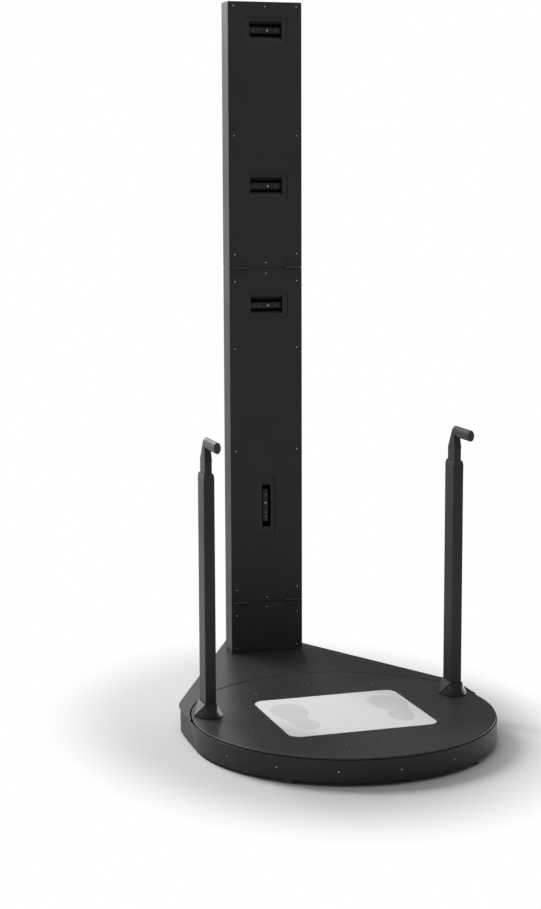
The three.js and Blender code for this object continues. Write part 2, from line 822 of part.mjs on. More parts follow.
function postTube(side) {
  const heights = [seatGap, collarTop - collarHeight - seatGap];
  return piece(`${side}_post_tube`, tubeGeometry(postWidth, postDepth, postWall, heights), blackPaint);
}

// The bush in the top of a post: a chamfered head and a sleeve down inside the tube.
function postCollar(side) {
  const headBottom = collarTop - collarHeight;
  const bottom = { width: postWidth, depth: postDepth };
  const top = { width: collarTopWidth, depth: collarTopDepth };
  const head = taperedBlock(bottom, top, [headBottom, collarTop]);
  const inside = 2 * (postWall + seatGap);
  const radius = postCornerRadius - postWall / 2;
  const sleeveOutline = roundedRectangle(postWidth - inside, postDepth - inside, radius);
  const sleeve = prism(sleeveOutline, [headBottom - sleeveLength, headBottom + collarHeight / 2]);
  const width = slideWidth + 2 * slideClearance;
  const boreOutline = roundedRectangle(width, slideDepth + 2 * slideClearance, postCornerRadius);
  const bore = prism(boreOutline, [headBottom - sleeveLength - overrun, collarTop + overrun]);
  return piece(`${side}_post_collar`, cut(join(head, sleeve), bore), blackPlastic);
}

function gripOutline(margin) {
  return oval(gripWidth + 2 * margin, gripHeight + 2 * margin, ringSteps / 2);
}

// A bar along Y with the grip's oval section.
function gripBar(margin) {
  const geometry = prism(gripOutline(margin), [0, gripLength + 2 * margin]);
  return geometry.rotateX(Math.PI / 2).translate(0, gripRear + margin, gripCentre);
}

// The sliding tube, with a neck that narrows up to the grip and is cut to its oval.
function handleTube(side) {
  const tube = tubeGeometry(slideWidth, slideDepth, slideWall, [slideBend - slideLength, slideBend]);
  const bottom = { width: slideWidth, depth: slideDepth };
  const top = { width: neckTopWidth, depth: neckTopDepth, shift: neckLean };
  const neck = taperedBlock(bottom, top, [slideBend, slideBend + neckHeight]);
  return piece(`${side}_handle_tube`, cut(join(tube, neck), gripBar(seatGap)), blackPaint);
}

function handleGrip(side) {
  return piece(`${side}_handle_grip`, gripBar(0), blackPlastic);
}

function handPost(side, direction) {
  const members = [postFoot(side), postTube(side), postCollar(side), handleTube(side), handleGrip(side)];
  return placed(direction * (discRadius - postInset), postOffset, deckTop, ...members);
}

// A section of the mast seen from above: a channel open at the front, with two lips.
function channelOutline() {
  const x = mastWidth / 2;
  const innerX = x - channelSheet;
  const lipX = wideWindow.openWidth / 2 + windowMargin + lipClearance;
  const lipBack = channelFront + channelSheet;
  const back = mastDepth - channelSheet;
  const right = [[lipX, channelFront], [x, channelFront], [x, mastDepth]];
  const left = [[-x, mastDepth], [-x, channelFront], [-lipX, channelFront], [-lipX, lipBack]];
  const inside = [[-innerX, lipBack], [-innerX, back], [innerX, back], [innerX, lipBack], [lipX, lipBack]];
  return [...right, ...left, ...inside].map(([px, py]) => new THREE.Vector2(px, py));
}

// An end plate of a section, with the wiring hole and the apron behind the panel.
function sectionEnd(z, direction) {
  const x = [-mastWidth / 2, mastWidth / 2];
  const inner = z - direction * endPlate;
  const apronEnd = z - direction * apronHeight;
  const plate = block(x, [channelFront, mastDepth], [Math.min(z, inner), Math.max(z, inner)]);
  const apronY = [channelFront, channelFront + channelSheet];
  const apron = block(x, apronY, [Math.min(z, apronEnd), Math.max(z, apronEnd)]);
  const wiringMiddle = mastDepth / 2;
  const wiringY = [wiringMiddle - wiringDepth / 2, wiringMiddle + wiringDepth / 2];
  const wiringHole = block([-wiringWidth / 2, wiringWidth / 2], wiringY, [z - overrun, z + overrun]);
  return cut(join(plate, apron), wiringHole);
}

function mastChannel(name, [bottom, top]) {
  const walls = prism(channelOutline(), [bottom, top]);
  return piece(name, join(walls, sectionEnd(bottom, -1), sectionEnd(top, 1)), blackPaint);
}

// A closed channel end without the wiring hole tops the mast.
function mastTopChannel(name, [bottom, top]) {
  const walls = prism(channelOutline(), [bottom, top]);
  const x = [-mastWidth / 2, mastWidth / 2];
  const lid = block(x, [channelFront, mastDepth], [top - endPlate, top]);
  return piece(name, join(walls, sectionEnd(bottom, -1), lid), blackPaint);
}

// The front panel of a section, cut out for its windows and its hinges.
function mastPanel(name, [bottom, top], windows, seams) {
  const x = mastWidth / 2;
  const plate = block([-x, x], [0, panelThickness], [bottom, top]);
  const through = [-overrun, panelThickness + overrun];
  const windowHoles = windows.map(([form, height]) => {
    const halfHeight = form.openHeight / 2;
    const acrossWindow = [form.across - form.openWidth / 2, form.across + form.openWidth / 2];
    return block(acrossWindow, through, [height - halfHeight, height + halfHeight]);
  });
  const outer = mastWidth / 2 - hingeInset;
  const inner = outer - hingeLength;
  const hingeHoles = seams.flatMap((seam) =>
    [[-outer, -inner], [inner, outer]].map((across) =>
      block(across, through, [seam - hingeReach, seam + hingeReach]),
    ),
  );
  return piece(name, cut(plate, ...windowHoles, ...hingeHoles), blackPaint);
}

// One leaf of a butt hinge about the seam's axis, reaching up or down from it. The
// fixed leaf has the two outer knuckles and the pin, the moving leaf the middle one.
function hingeLeaf(name, direction, isFixed) {
  const length = hingeLength - 2 * seatGap;
  const plateStart = knuckleRadius + knuckleGap;
  const plateEnd = hingeReach - seatGap;
  const leafY = [leafFront - hingeAxisY, leafFront - hingeAxisY + leafThickness];
  const reach = [direction * plateStart, direction * plateEnd].sort((a, b) => a - b);
  const plate = block([-length / 2, length / 2], leafY, reach);
  const middle = (length * middleKnuckleShare) / 2;
  const spans = isFixed
    ? [[-length / 2, -middle - seatGap], [middle + seatGap, length / 2]]
    : [[-middle, middle]];
  const tabHeights = [0, direction * (plateStart + leafThickness)].sort((a, b) => a - b);
  const knuckles = spans.flatMap((span) => [block(span, leafY, tabHeights), rod(knuckleRadius, span)]);
  const pin = rod(pinRadius, [-length / 2, length / 2]);
  const bore = rod(pinRadius + seatGap, [-length / 2 - overrun, length / 2 + overrun]);
  const leaf = join(plate, ...knuckles);
  return piece(name, isFixed ? join(leaf, pin) : cut(leaf, bore), blackPaint);
}

// Both hinges of a seam: fixed leaves below it, moving leaves above it.
function seamHinges(seamName, seam) {
  const middle = mastWidth / 2 - hingeInset - hingeLength / 2;
  const pair = (kind, direction, isFixed) =>
    [["left", -middle], ["right", middle]].map(([side, x]) =>
      placed(x, hingeAxisY, seam, hingeLeaf(`${seamName}_hinge_${side}_${kind}_leaf`, direction, isFixed)),
    );
  return [...pair("fixed", -1, true), ...pair("moving", 1, false)];
}

// A block that narrows from the mouth's rectangle in front to the slot's behind.
function trough(form, wall, frontToBack) {
  const mouth = { width: form.mouthWidth + 2 * wall, depth: form.mouthHeight + 2 * wall };
  const slot = { width: form.slotWidth + 2 * wall, depth: form.slotHeight + 2 * wall };
  return taperedBlock(mouth, slot, frontToBack).rotateX(-Math.PI / 2);
}

// The yoke behind a slot: two arms and a back that hold the camera from behind.
function cameraYoke(form, slotBack) {
  const isTall = form.slotHeight > form.slotWidth;
  const armX = form.slotWidth / 2;
  const halfHeight = (isTall ? cameraLength : cameraHeight) / 2;
  const yokeBack = cameraFront + cameraDepth + seatGap;
  const outerX = [-armX - windowSheet, armX + windowSheet];
  const outerY = [slotBack - windowSheet, yokeBack + yokeDepth];
  const outer = block(outerX, outerY, [-halfHeight, halfHeight]);
  const innerHeights = [-halfHeight - overrun, halfHeight + overrun];
  const inner = block([-armX, armX], [slotBack - overrun, yokeBack], innerHeights);
  return cut(outer, inner);
}

// The insert behind a window of the panel: a flange, a trough that narrows to a slot,
// and the yoke.
function windowInsert(name, form) {
  const front = channelFront;
  const back = front + form.troughDepth;
  const flangeX = form.openWidth / 2 + windowMargin;
  const flangeZ = form.openHeight / 2 + windowMargin;
  const flange = block([-flangeX, flangeX], [front, front + windowSheet], [-flangeZ, flangeZ]);
  const shell = join(flange, trough(form, windowSheet, [front, back]));
  const slotX = [-form.slotWidth / 2, form.slotWidth / 2];
  const slotZ = [-form.slotHeight / 2, form.slotHeight / 2];
  const slot = block(slotX, [front - overrun, back + overrun], slotZ);
  const open = cut(shell, trough(form, 0, [front, back]), slot);
  return piece(name, join(open, cameraYoke(form, back)), blackPaint);
}

function depthCamera(name, isTall) {
  const outline = roundedRectangle(cameraLength, cameraHeight, cameraCornerRadius);
  const bar = prism(outline, [0, cameraDepth]).rotateX(Math.PI / 2);
  const geometry = bar.translate(0, cameraFront + cameraDepth, 0);
  return piece(name, isTall ? geometry.rotateY(Math.PI / 2) : geometry, greyCamera);
}

function cameraWindow(place, form, height) {
  const isTall = form.slotHeight > form.slotWidth;
  const insert = windowInsert(`${place}_window_insert`, form);
  return placed(form.across, 0, height, insert, depthCamera(`${place}_depth_camera`, isTall));
}

function hubBoard() {
  const back = mastDepth - channelSheet - seatGap;
  const x = [-hubWidth / 2, hubWidth / 2];
  const z = [hubMiddle - hubHeight / 2, hubMiddle + hubHeight / 2];
  return piece("mast_hub", block(x, [back - hubThickness, back], z), blackPlastic);
}

function mast() {
  const footSpan = [seatGap, lowerSeam - seamHalfGap];
  const lowerSpan = [lowerSeam + seamHalfGap, upperSeam - seamHalfGap];
  const upperSpan = [upperSeam + seamHalfGap, mastHeight];
  const lowerWindows = [[wideWindow, hipWindowHeight], [tallWindow, kneeWindowHeight]];
  const upperWindows = [[wideWindow, topWindowHeight], [wideWindow, chestWindowHeight]];
  return placed(
    0,
    mastY,
    deckTop,
    mastChannel("mast_foot_channel", footSpan),
    mastPanel("mast_foot_panel", footSpan, [], [lowerSeam]),
    mastChannel("mast_lower_channel", lowerSpan),
    mastPanel("mast_lower_panel", lowerSpan, lowerWindows, [lowerSeam, upperSeam]),
    mastTopChannel("mast_upper_channel", upperSpan),
    mastPanel("mast_upper_panel", upperSpan, upperWindows, [upperSeam]),
    ...seamHinges("lower_seam", lowerSeam),
    ...seamHinges("upper_seam", upperSeam),
    cameraWindow("top", wideWindow, topWindowHeight),
    cameraWindow("chest", wideWindow, chestWindowHeight),
    cameraWindow("hip", wideWindow, hipWindowHeight),
    cameraWindow("knee", tallWindow, kneeWindowHeight),
    hubBoard(),
  );
}

function turntable() {
  return placed(
    0,
    turntableY,
    0,
    turntableDisc(),
    upperRace(),
    ringGear(),
    ...loadCells(),
    footplate(),
    handPost("left", -1),
    handPost("right", 1),
  );
}

function base() {
  return placed(
    0,
    0,
    0,
    basePan(),
    baseSkirt(),
    deckCover(),
    ...footPlaces().map(levellingFoot),
    placed(0, turntableY, 0, lowerRace(), ballCage()),
    placed(0, pinionY, 0, gearbox(), drivePinion()),
    driveMotor(),
    mastSupport(),
    powerSupply(),
    controlBoard(),
    powerEntry(),
  );
}

const scanner = new THREE.Group();
scanner.add(base(), turntable(), mast());

export default scanner;
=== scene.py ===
"""Looks of a three-dimensional body scanner.

A turntable base and a folding mast of black powder-coated sheet, two hand-hold posts, a
footplate of white glass and four depth cameras. All lengths are in metres.
"""

import logging
import math
from dataclasses import dataclass, field
from enum import Enum
from typing import Any, ClassVar, Iterable, Optional, Sequence

import bmesh
import bpy
from mathutils import Euler, Matrix, Vector


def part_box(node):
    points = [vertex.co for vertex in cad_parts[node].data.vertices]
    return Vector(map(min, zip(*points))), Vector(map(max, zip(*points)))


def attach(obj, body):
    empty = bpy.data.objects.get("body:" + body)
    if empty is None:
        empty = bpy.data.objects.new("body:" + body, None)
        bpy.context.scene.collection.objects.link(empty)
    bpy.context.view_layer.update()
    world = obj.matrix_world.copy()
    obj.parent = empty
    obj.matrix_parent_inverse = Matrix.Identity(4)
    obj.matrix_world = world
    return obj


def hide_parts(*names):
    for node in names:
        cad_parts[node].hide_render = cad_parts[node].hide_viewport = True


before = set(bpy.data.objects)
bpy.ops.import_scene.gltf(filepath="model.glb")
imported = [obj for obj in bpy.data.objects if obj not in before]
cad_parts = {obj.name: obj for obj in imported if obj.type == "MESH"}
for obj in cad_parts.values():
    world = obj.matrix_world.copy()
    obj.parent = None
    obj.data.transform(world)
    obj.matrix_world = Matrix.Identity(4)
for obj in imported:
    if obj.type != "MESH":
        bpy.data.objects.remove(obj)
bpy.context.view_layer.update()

Tree = bpy.types.NodeTree
Socket = bpy.types.NodeSocket
Shape = bmesh.types.BMesh
Face = bmesh.types.BMFace
Inputs = dict[Any, Any]
Point = tuple[float, float, float]
Pairs = tuple[tuple[float, float], ...]

LOG = logging.getLogger("scanner")
MM = 0.001
WELD = 0.01 * MM
PRINT_LIFT = 0.06 * MM
FLAT_ANGLE = math.radians(0.6)
COPLANAR_ANGLE = math.radians(0.05)
SHARP_ANGLE = math.radians(40)
SCREW_SHARP_ANGLE = 0.9
LEAST_FLAT_CORNERS = 5
STRAIGHT = 0.99999
# Cuts are told apart to a hundredth of a millimetre
CUT_DIGITS = 5
WHITE = (1.0, 1.0, 1.0, 1.0)
UP = Vector((0, 0, 1))
# A Mix node's colour inputs and its colour output, by number
MIX_FIRST, MIX_SECOND, MIX_RESULT = 6, 7, 2


class Side(Enum):
    """The two sides of the scanner, seen from its front."""

    LEFT = -1
    RIGHT = 1

    @property
    def label(self) -> str:
        """Returns the side's name as it stands in the names of its pieces."""
        return self.name.lower()


class Facing(Enum):
    """Which way a screw or a lens looks."""

    FRONT = (0.0, -1.0, 0.0)
    UP = (0.0, 0.0, 1.0)

    @property
    def direction(self) -> Vector:
        """Returns the outward direction."""
        return Vector(self.value)


class Tint(Enum):
    """The colours of the object, as sRGB hex values."""

    COAT_BLACK = "#19191b"
    WALL_BLACK = "#121214"
    DECK_BLACK = "#1c1c1e"
    PLASTIC_BLACK = "#131314"
    CAMERA_GREY = "#2a2c2e"
    GLASS_WHITE = "#fafafc"
    # Partly the ground edge's own paler tone, partly a painted highlight along the rim
    GLASS_EDGE = "#fbfcfc"
    PRINT_GREY = "#e1e3e5"
    SCREW_GREY = "#c2c4c6"
    # Painted shade for the camera troughs, the countersinks and the sockets
    RECESS_BLACK = "#050505"
    LENS_BLACK = "#0a0b10"
    LENS_FILM = "#1d1630"
    LENS_RIM = "#787c7f"
    DIFFUSER_WHITE = "#eef0f2"
    STEEL = "#a9abad"
    ZINC = "#8f9498"
    BOARD_GREEN = "#1f5a3a"
    COPPER = "#2f7a50"
    CASE_GREY = "#3a3b3d"
    PAPER = "#e6e6e6"


def linear(tint: Tint, level: float = 1.0) -> tuple[float, float, float, float]:
    """Turns an sRGB hex value into a linear colour.

    Args:
        tint: The colour to turn.
        level: How much lighter or darker it gets.

    Returns:
        Red, green, blue and an alpha of one.
    """
    parts = [int(tint.value[i : i + 2], 16) / 255 for i in (1, 3, 5)]
    made = [p / 12.92 if p <= 0.04045 else ((p + 0.055) / 1.055) ** 2.4 for p in parts]
    return (level * made[0], level * made[1], level * made[2], 1.0)


def add_node(
    tree: Tree,
    kind: str,
    sockets: Optional[Inputs] = None,
    links: Optional[dict[Any, Socket]] = None,
    **settings: Any,
) -> bpy.types.Node:
    """Adds a node with its settings and links.

    Args:
        tree: The tree that takes the node.
        kind: The node's type name.
        sockets: Values for its input sockets, by name or number.
        links: Output sockets that feed its input sockets, by name or number.
        settings: The node's own settings.

    Returns:
        The new node.
    """
    node = tree.nodes.new(kind)
    for name, value in settings.items():
        setattr(node, name, value)
    for name, value in (sockets or {}).items():
        node.inputs[name].default_value = value
    for name, source in (links or {}).items():
        tree.links.new(source, node.inputs[name])
    return node


def new_material(name: str) -> bpy.types.Material:
    """Makes a material with an empty node tree.

    Args:
        name: Its name.

    Returns:
        The new material.
    """
    made = bpy.data.materials.new(name)
    made.use_nodes = True
    made.node_tree.nodes.clear()
    return made


@dataclass(frozen=True)
class Stop:
    """A colour at a place of a surface's pattern, from 0 to 1."""

    place: float
    level: float = 1.0
    tint: Optional[Tint] = None


@dataclass(frozen=True)
class Finish:
    """A surface finish, made once as a material and then shared.

    One fine pattern gives the surface its relief, its shades and its change of gloss, as
    far as its kind has them.
    """

    name: str
    tint: Tint
    roughness: float
    pitch: float = 1.0 * MM
    depth: float = 0.01 * MM
    gloss_change: float = 0.0
    specular: float = 0.5

    texture: ClassVar[str] = "ShaderNodeTexNoise"
    signal: ClassVar[str] = "Fac"
    settings: ClassVar[dict[str, str]] = {}
    fineness: ClassVar[Inputs] = {"Detail": 2.0}
    # How many marks of the pattern the texture draws to a unit of its scale
    marks: ClassVar[float] = 1.0
    relief: ClassVar[float] = 0.0
    is_sunken: ClassVar[bool] = False
    stops: ClassVar[tuple[Stop, ...]] = ()
    optics: ClassVar[Inputs] = {}

    def material(self) -> bpy.types.Material:
        """Makes the material on the first call and then shares it.

        Returns:
            The material.
        """
        known = bpy.data.materials.get(self.name)
        if known is not None:
            return known
        made = new_material(self.name)
        tree = made.node_tree
        plain = {"Base Color": linear(self.tint), "Roughness": self.roughness, **self.optics}
        plain["Specular IOR Level"] = self.specular
        at = add_node(tree, "ShaderNodeTexCoord").outputs["Object"]
        shader = add_node(tree, "ShaderNodeBsdfPrincipled", plain, self.dress(tree, at))
        add_node(tree, "ShaderNodeOutputMaterial", links={"Surface": shader.outputs["BSDF"]})
        made.diffuse_color = linear(self.tint)
        return made

    def dress(self, tree: Tree, at: Socket) -> dict[str, Socket]:
        """Adds what the eye sees of the real surface.

        Args:
            tree: The material's tree.
            at: The Object coordinates.

        Returns:
            The output socket for each input of the shader that changes.
        """
        sizes = {"Scale": self.marks / self.pitch, **self.fineness}
        texture = add_node(tree, self.texture, sizes, {"Vector": at}, **self.settings)
        pattern = texture.outputs[self.signal]
        changed = {}
        if self.relief:
            rise = {"Strength": self.relief, "Distance": self.depth}
            height = {"Height": pattern}
            bump = add_node(tree, "ShaderNodeBump", rise, height, invert=self.is_sunken)
            changed["Normal"] = bump.outputs["Normal"]
        if self.gloss_change:
            span = self.gloss(self.gloss_change)
            gloss = add_node(tree, "ShaderNodeMapRange", span, {"Value": pattern})
            changed["Roughness"] = gloss.outputs["Result"]
        if self.stops:
            shade = add_node(tree, "ShaderNodeValToRGB", links={"Fac": pattern})
            for point, stop in zip(shade.color_ramp.elements, self.stops):
                point.position = stop.place
                point.color = linear(stop.tint or self.tint, stop.level)
            changed["Base Color"] = shade.outputs["Color"]
        return changed

    def gloss(self, change: float) -> Inputs:
        """Returns a range of roughness that goes this far up and down."""
        return {"To Min": self.roughness - change, "To Max": self.roughness + change}


@dataclass(frozen=True)
class PowderCoat(Finish):
    """Polyester powder coat, sprayed and baked on steel sheet.

    It gives the eye a black with a fine even grain, a soft broad sheen and slow changes
    of gloss where the film is thicker.
    """

    # The real grain is about 0.3 mm, too fine for the picture, so it is drawn coarser.
    pitch: float = 0.9 * MM
    depth: float = 0.03 * MM
    cloud: float = 140 * MM
    cloud_change: float = 0.05

    fineness = {"Detail": 3.0, "Roughness": 0.6}
    relief = 0.5
    stops = (Stop(0.3, 0.8), Stop(0.75, 1.25))

    def dress(self, tree: Tree, at: Socket) -> dict[str, Socket]:
        """Adds the grain with a little dust in it, and the slow change of gloss.

        Args:
            tree: The material's tree.
            at: The Object coordinates.

        Returns:
            The output socket for each input of the shader that changes.
        """
        slow = {"Scale": 1 / self.cloud, "Detail": 2.0}
        cloud = add_node(tree, "ShaderNodeTexNoise", slow, {"Vector": at}).outputs["Fac"]
        span = {"From Min": 0.3, "From Max": 0.7, **self.gloss(self.cloud_change)}
        gloss = add_node(tree, "ShaderNodeMapRange", span, {"Value": cloud})
        return {**super().dress(tree, at), "Roughness": gloss.outputs["Result"]}


@dataclass(frozen=True)
class MouldedPlastic(Finish):
    """ABS or polycarbonate moulded in a spark-eroded tool.

    It gives the eye a dull even tone with a fine pebbled surface, lighter between the
    pebbles.
    """

    pitch: float = 0.7 * MM
    depth: float = 0.04 * MM

    texture = "ShaderNodeTexVoronoi"
    signal = "Distance"
    settings = {"feature": "SMOOTH_F1"}
    fineness = {}
    relief = 0.4
    is_sunken = True
    stops = (Stop(0.0), Stop(1.0, 1.5))
    optics = {"IOR": 1.54}


@dataclass(frozen=True)
class MatteBlack(Finish):
    """Painted shade: a deep black without gloss for the places where shade falls.

    It is laid on the deep faces of the camera troughs and on the screws' countersinks and
    sockets, with a faint unevenness of tone.
    """

    pitch: float = 1.2 * MM
    specular: float = 0.05

    stops = (Stop(0.0), Stop(1.0, 2.0))


@dataclass(frozen=True)
class AnodisedAluminium(Finish):
    """Aluminium, bead-blasted and dyed grey.

    It gives the eye a soft metallic grey without bright points, with the blasted grain
    and its changing gloss.
    """

    pitch: float = 0.25 * MM
    gloss_change: float = 0.06

    relief = 0.4
    optics = {"Metallic": 0.7}


@dataclass(frozen=True)
class BackPaintedGlass(Finish):
    """Toughened glass, etched on top and painted white on its back.

    It gives the eye an even cool white with a satin gloss, which changes slowly over the
    etched face. Its ground edge is painted a touch lighter where the surface turns away from
    up: partly the ground glass's own paler tone, partly a painted highlight along the rim.
    """

    pitch: float = 60 * MM
    gloss_change: float = 0.05
    # The ground edge's tone: partly its own paler tone, partly a painted highlight
    edge: Tint = Tint.GLASS_EDGE

    fineness = {"Detail": 3.0}
    optics = {"IOR": 1.5}
    # How far the surface looks up where its edge begins and where it is all edge
    edge_from: ClassVar[float] = 0.98
    edge_to: ClassVar[float] = 0.7

    def dress(self, tree: Tree, at: Socket) -> dict[str, Socket]:
        """Adds the etched gloss and the lighter ground edge, partly a painted highlight.

        Args:
            tree: The material's tree.
            at: The Object coordinates.

        Returns:
            The output socket for each input of the shader that changes.
        """
        normal = add_node(tree, "ShaderNodeNewGeometry").outputs["Normal"]
        upward = add_node(tree, "ShaderNodeSeparateXYZ", links={"Vector": normal}).outputs["Z"]
        tilt = {"From Min": self.edge_from, "From Max": self.edge_to}
        on_edge = add_node(tree, "ShaderNodeMapRange", tilt, {"Value": upward})
        tones = {MIX_FIRST: linear(self.tint), MIX_SECOND: linear(self.edge)}
        share = {"Factor": on_edge.outputs["Result"]}
        tone = add_node(tree, "ShaderNodeMix", tones, share, data_type="RGBA")
        return {**super().dress(tree, at), "Base Color": tone.outputs[MIX_RESULT]}


@dataclass(frozen=True)
class ScreenPrint(Finish):
    """Ceramic ink, screen-printed on glass.

    It gives the eye a pale grey with the faint speckle of the print screen.
    """

    # A print screen's real pitch is about 0.1 mm, drawn coarser so that it shows.
    pitch: float = 1.6 * MM

    stops = (Stop(0.3, 0.93), Stop(0.7, 1.05))


@dataclass(frozen=True)
class TurnedSteel(Finish):
    """Steel, turned or ground.

    It gives the eye fine lines that follow the tool and a bright, slightly broken gloss.
    """

    pitch: float = 0.4 * MM
    gloss_change: float = 0.08

    texture = "ShaderNodeTexWave"
    settings = {"wave_type": "RINGS", "rings_direction": "Z"}
    fineness = {"Distortion": 2.0, "Detail": 2.0}
    # The texture draws about twenty rings to a unit of its scale.
    marks = 0.05
    relief = 0.3
    optics = {"Metallic": 1.0}


@dataclass(frozen=True)
class ZincSheet(Finish):
    """Hot-dip zinc-coated sheet.

    It gives the eye a dull grey metal with the crystal flowers of the zinc.
    """

    pitch: float = 9 * MM
    gloss_change: float = 0.1

    texture = "ShaderNodeTexVoronoi"
    signal = "Color"
    fineness = {}
    stops = (Stop(0.0, 0.8), Stop(1.0, 1.15))
    optics = {"Metallic": 0.85}


@dataclass(frozen=True)
class CircuitBoard(Finish):
    """Glass-fibre board under green solder mask.

    It gives the eye a glossy green with the slightly lighter lines of its copper tracks.
    """

    pitch: float = 4 * MM
    depth: float = 0.05 * MM

    texture = "ShaderNodeTexBrick"
    fineness = {"Mortar Size": 0.04}
    # A brick is a quarter of a unit high, and its joints are the tracks.
    marks = 0.25
    relief = 0.3
    stops = (Stop(0.0), Stop(1.0, tint=Tint.COPPER))


@dataclass(frozen=True)
class CoatedGlass(Finish):
    """Optical glass with an antireflex coating over a black barrel.

    It gives the eye a deep black with one sharp reflection and a faint violet cast that
    changes with the coating.
    """

    pitch: float = 6 * MM

    stops = (Stop(0.0), Stop(1.0, tint=Tint.LENS_FILM))
    optics = {"IOR": 1.52}


# The finishes of the scanner
BLACK_COAT = PowderCoat("fine_textured_powder_coat", Tint.COAT_BLACK, 0.5, specular=0.42)
WALL_COAT = PowderCoat("smooth_black_powder_coat", Tint.WALL_BLACK, 0.45, specular=0.38)
FOOT_COAT = PowderCoat("powder_coat_of_the_cast_feet", Tint.WALL_BLACK, 0.54, specular=0.24)
GUSSET_COAT = PowderCoat(
    "gloss_powder_coat_of_the_gussets", Tint.COAT_BLACK, 0.3, cloud_change=0.02, specular=0.8
)
DECK_COAT = PowderCoat(
    "satin_powder_coat",
    Tint.DECK_BLACK,
    0.4,
    pitch=0.7 * MM,
    depth=0.015 * MM,
    cloud=220 * MM,
    cloud_change=0.03,
)
INSERT_COAT = PowderCoat(
    "powder_coat_of_the_inserts", Tint.COAT_BLACK, 0.52, depth=0.02 * MM, specular=0.44
)
BLACK_PLASTIC = MouldedPlastic("moulded_black_abs", Tint.PLASTIC_BLACK, 0.5)
CAMERA_SHELL = AnodisedAluminium("dark_anodised_aluminium", Tint.CAMERA_GREY, 0.42)
WHITE_GLASS = BackPaintedGlass("etched_white_glass", Tint.GLASS_WHITE, 0.36)
FOOT_PRINT = ScreenPrint("grey_screen_print", Tint.PRINT_GREY, 0.45)
SCREW_STEEL = TurnedSteel("black_zinc_screw_steel", Tint.SCREW_GREY, 0.34)
BLACK_STEEL = TurnedSteel("blackened_screw_steel", Tint.CASE_GREY, 0.45)
# Painted shade: near-black laid where shade falls in the camera troughs and the screws' recesses
PAINTED_SHADE = MatteBlack("dull_black_lining", Tint.RECESS_BLACK, 0.95)
LENS_GLASS = CoatedGlass("coated_lens_glass", Tint.LENS_BLACK, 0.06)
LENS_RIM = AnodisedAluminium("anodised_lens_rim", Tint.LENS_RIM, 0.35)
DIFFUSER = MouldedPlastic("white_polycarbonate_diffuser", Tint.DIFFUSER_WHITE, 0.4)
GROUND_STEEL = TurnedSteel("ground_bearing_steel", Tint.STEEL, 0.32)
ZINC_SHEET = ZincSheet("hot_dip_zinc_sheet", Tint.ZINC, 0.48)
GREEN_BOARD = CircuitBoard("green_circuit_board", Tint.BOARD_GREEN, 0.35)
CASE_PLASTIC = MouldedPlastic("grey_polycarbonate_case", Tint.CASE_GREY, 0.55)


def add_object(name: str, data: bpy.types.ID) -> bpy.types.Object:
    """Adds an object to the scene.

    Args:
        name: Its name.
        data: Its mesh, light or camera.

    Returns:
        The new object.
    """
    made = bpy.data.objects.new(name, data)
    bpy.context.scene.collection.objects.link(made)
    return made


def make_mesh(name: str, shape: Shape) -> bpy.types.Mesh:
    """Turns a bmesh into a mesh.

    Args:
        name: The mesh's name.
        shape: The bmesh, which is freed here.

    Returns:
        The new mesh.
    """
    mesh = bpy.data.meshes.new(name)
    shape.to_mesh(mesh)
    shape.free()
    return mesh


def is_flat(face: Face) -> bool:
    """Tells whether a face belongs to a plane and is shaded flat.

    Args:
        face: The face.

    Returns:
        True if it has many corners or lies level with one of its neighbours.
    """
    if len(face.verts) >= LEAST_FLAT_CORNERS:
        return True
    return any(
        edge.is_manifold and edge.calc_face_angle() < COPLANAR_ANGLE for edge in face.edges
    )


def make_piece(
    name: str,
    shape: Shape,
    body: str,
    finishes: Sequence[Finish],
    replaced: Iterable[str] = (),
    sharp_angle: float = SHARP_ANGLE,
) -> bpy.types.Object:
    """Turns a finished bmesh into one piece that rides on a body.

    Args:
        name: The piece's name.
        shape: Its bmesh, which is freed here.
        body: The CAD body that it rides on.
        finishes: Its finishes, in the order of the faces' material numbers.
        replaced: CAD nodes that it stands for.
        sharp_angle: Edges that turn more than this stay sharp.

    Returns:
        The new object.
    """
    for face in shape.faces:
        face.smooth = not is_flat(face)
    for edge in shape.edges:
        edge.smooth = not (edge.is_manifold and edge.calc_face_angle() > sharp_angle)
    mesh = make_mesh(name, shape)
    for finish in finishes:
        mesh.materials.append(finish.material())
    piece = add_object(name, mesh)
    weighted = piece.modifiers.new("flat_faces_stay_flat", "WEIGHTED_NORMAL")
    weighted.keep_sharp = True
    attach(piece, body)
    if replaced:
        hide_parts(*replaced)
    LOG.info("piece %s on %s: %d faces", name, body, len(mesh.polygons))
    return piece


def ease(
    shape: Shape,
    edges: Sequence[bmesh.types.BMEdge],
    width: float,
    segments: int,
    clamp: bool = False,
) -> None:
    """Rounds edges off.

    Args:
        shape: The mesh.
        edges: Its edges to round.
        width: How far the rounding reaches on each side.
        segments: How many strips it has.
        clamp: Whether it is narrowed where it would run over itself.
    """
    bmesh.ops.bevel(
        shape,
        geom=edges,
        offset=width,
        offset_type="OFFSET",
        segments=segments,
        profile=0.5,
        affect="EDGES",
        clamp_overlap=clamp,
        material=-1,
    )


def raise_face(shape: Shape, face: Face, lift: Vector) -> Face:
    """Raises a face into a closed block.

    Args:
        shape: The mesh.
        face: The block's foot.
        lift: How far it is raised and which way.

    Returns:
        The block's far face.
    """
    block = bmesh.ops.extrude_face_region(shape, geom=[face])["geom"]
    verts = [item for item in block if isinstance(item, bmesh.types.BMVert)]
    bmesh.ops.translate(shape, verts=verts, vec=lift)
    return next(item for item in block if isinstance(item, Face))


def sink_face(shape: Shape, face: Face, drop: Vector, slot: int) -> None:
    """Sinks a face into its block.

    Args:
        shape: The mesh.
        face: The face to sink.
        drop: How far it is sunk and which way.
        slot: The material number of the sunk face.
    """
    sunk = bmesh.ops.extrude_discrete_faces(shape, faces=[face])["faces"][0]
    bmesh.ops.translate(shape, verts=sunk.verts[:], vec=drop)
    sunk.material_index = slot


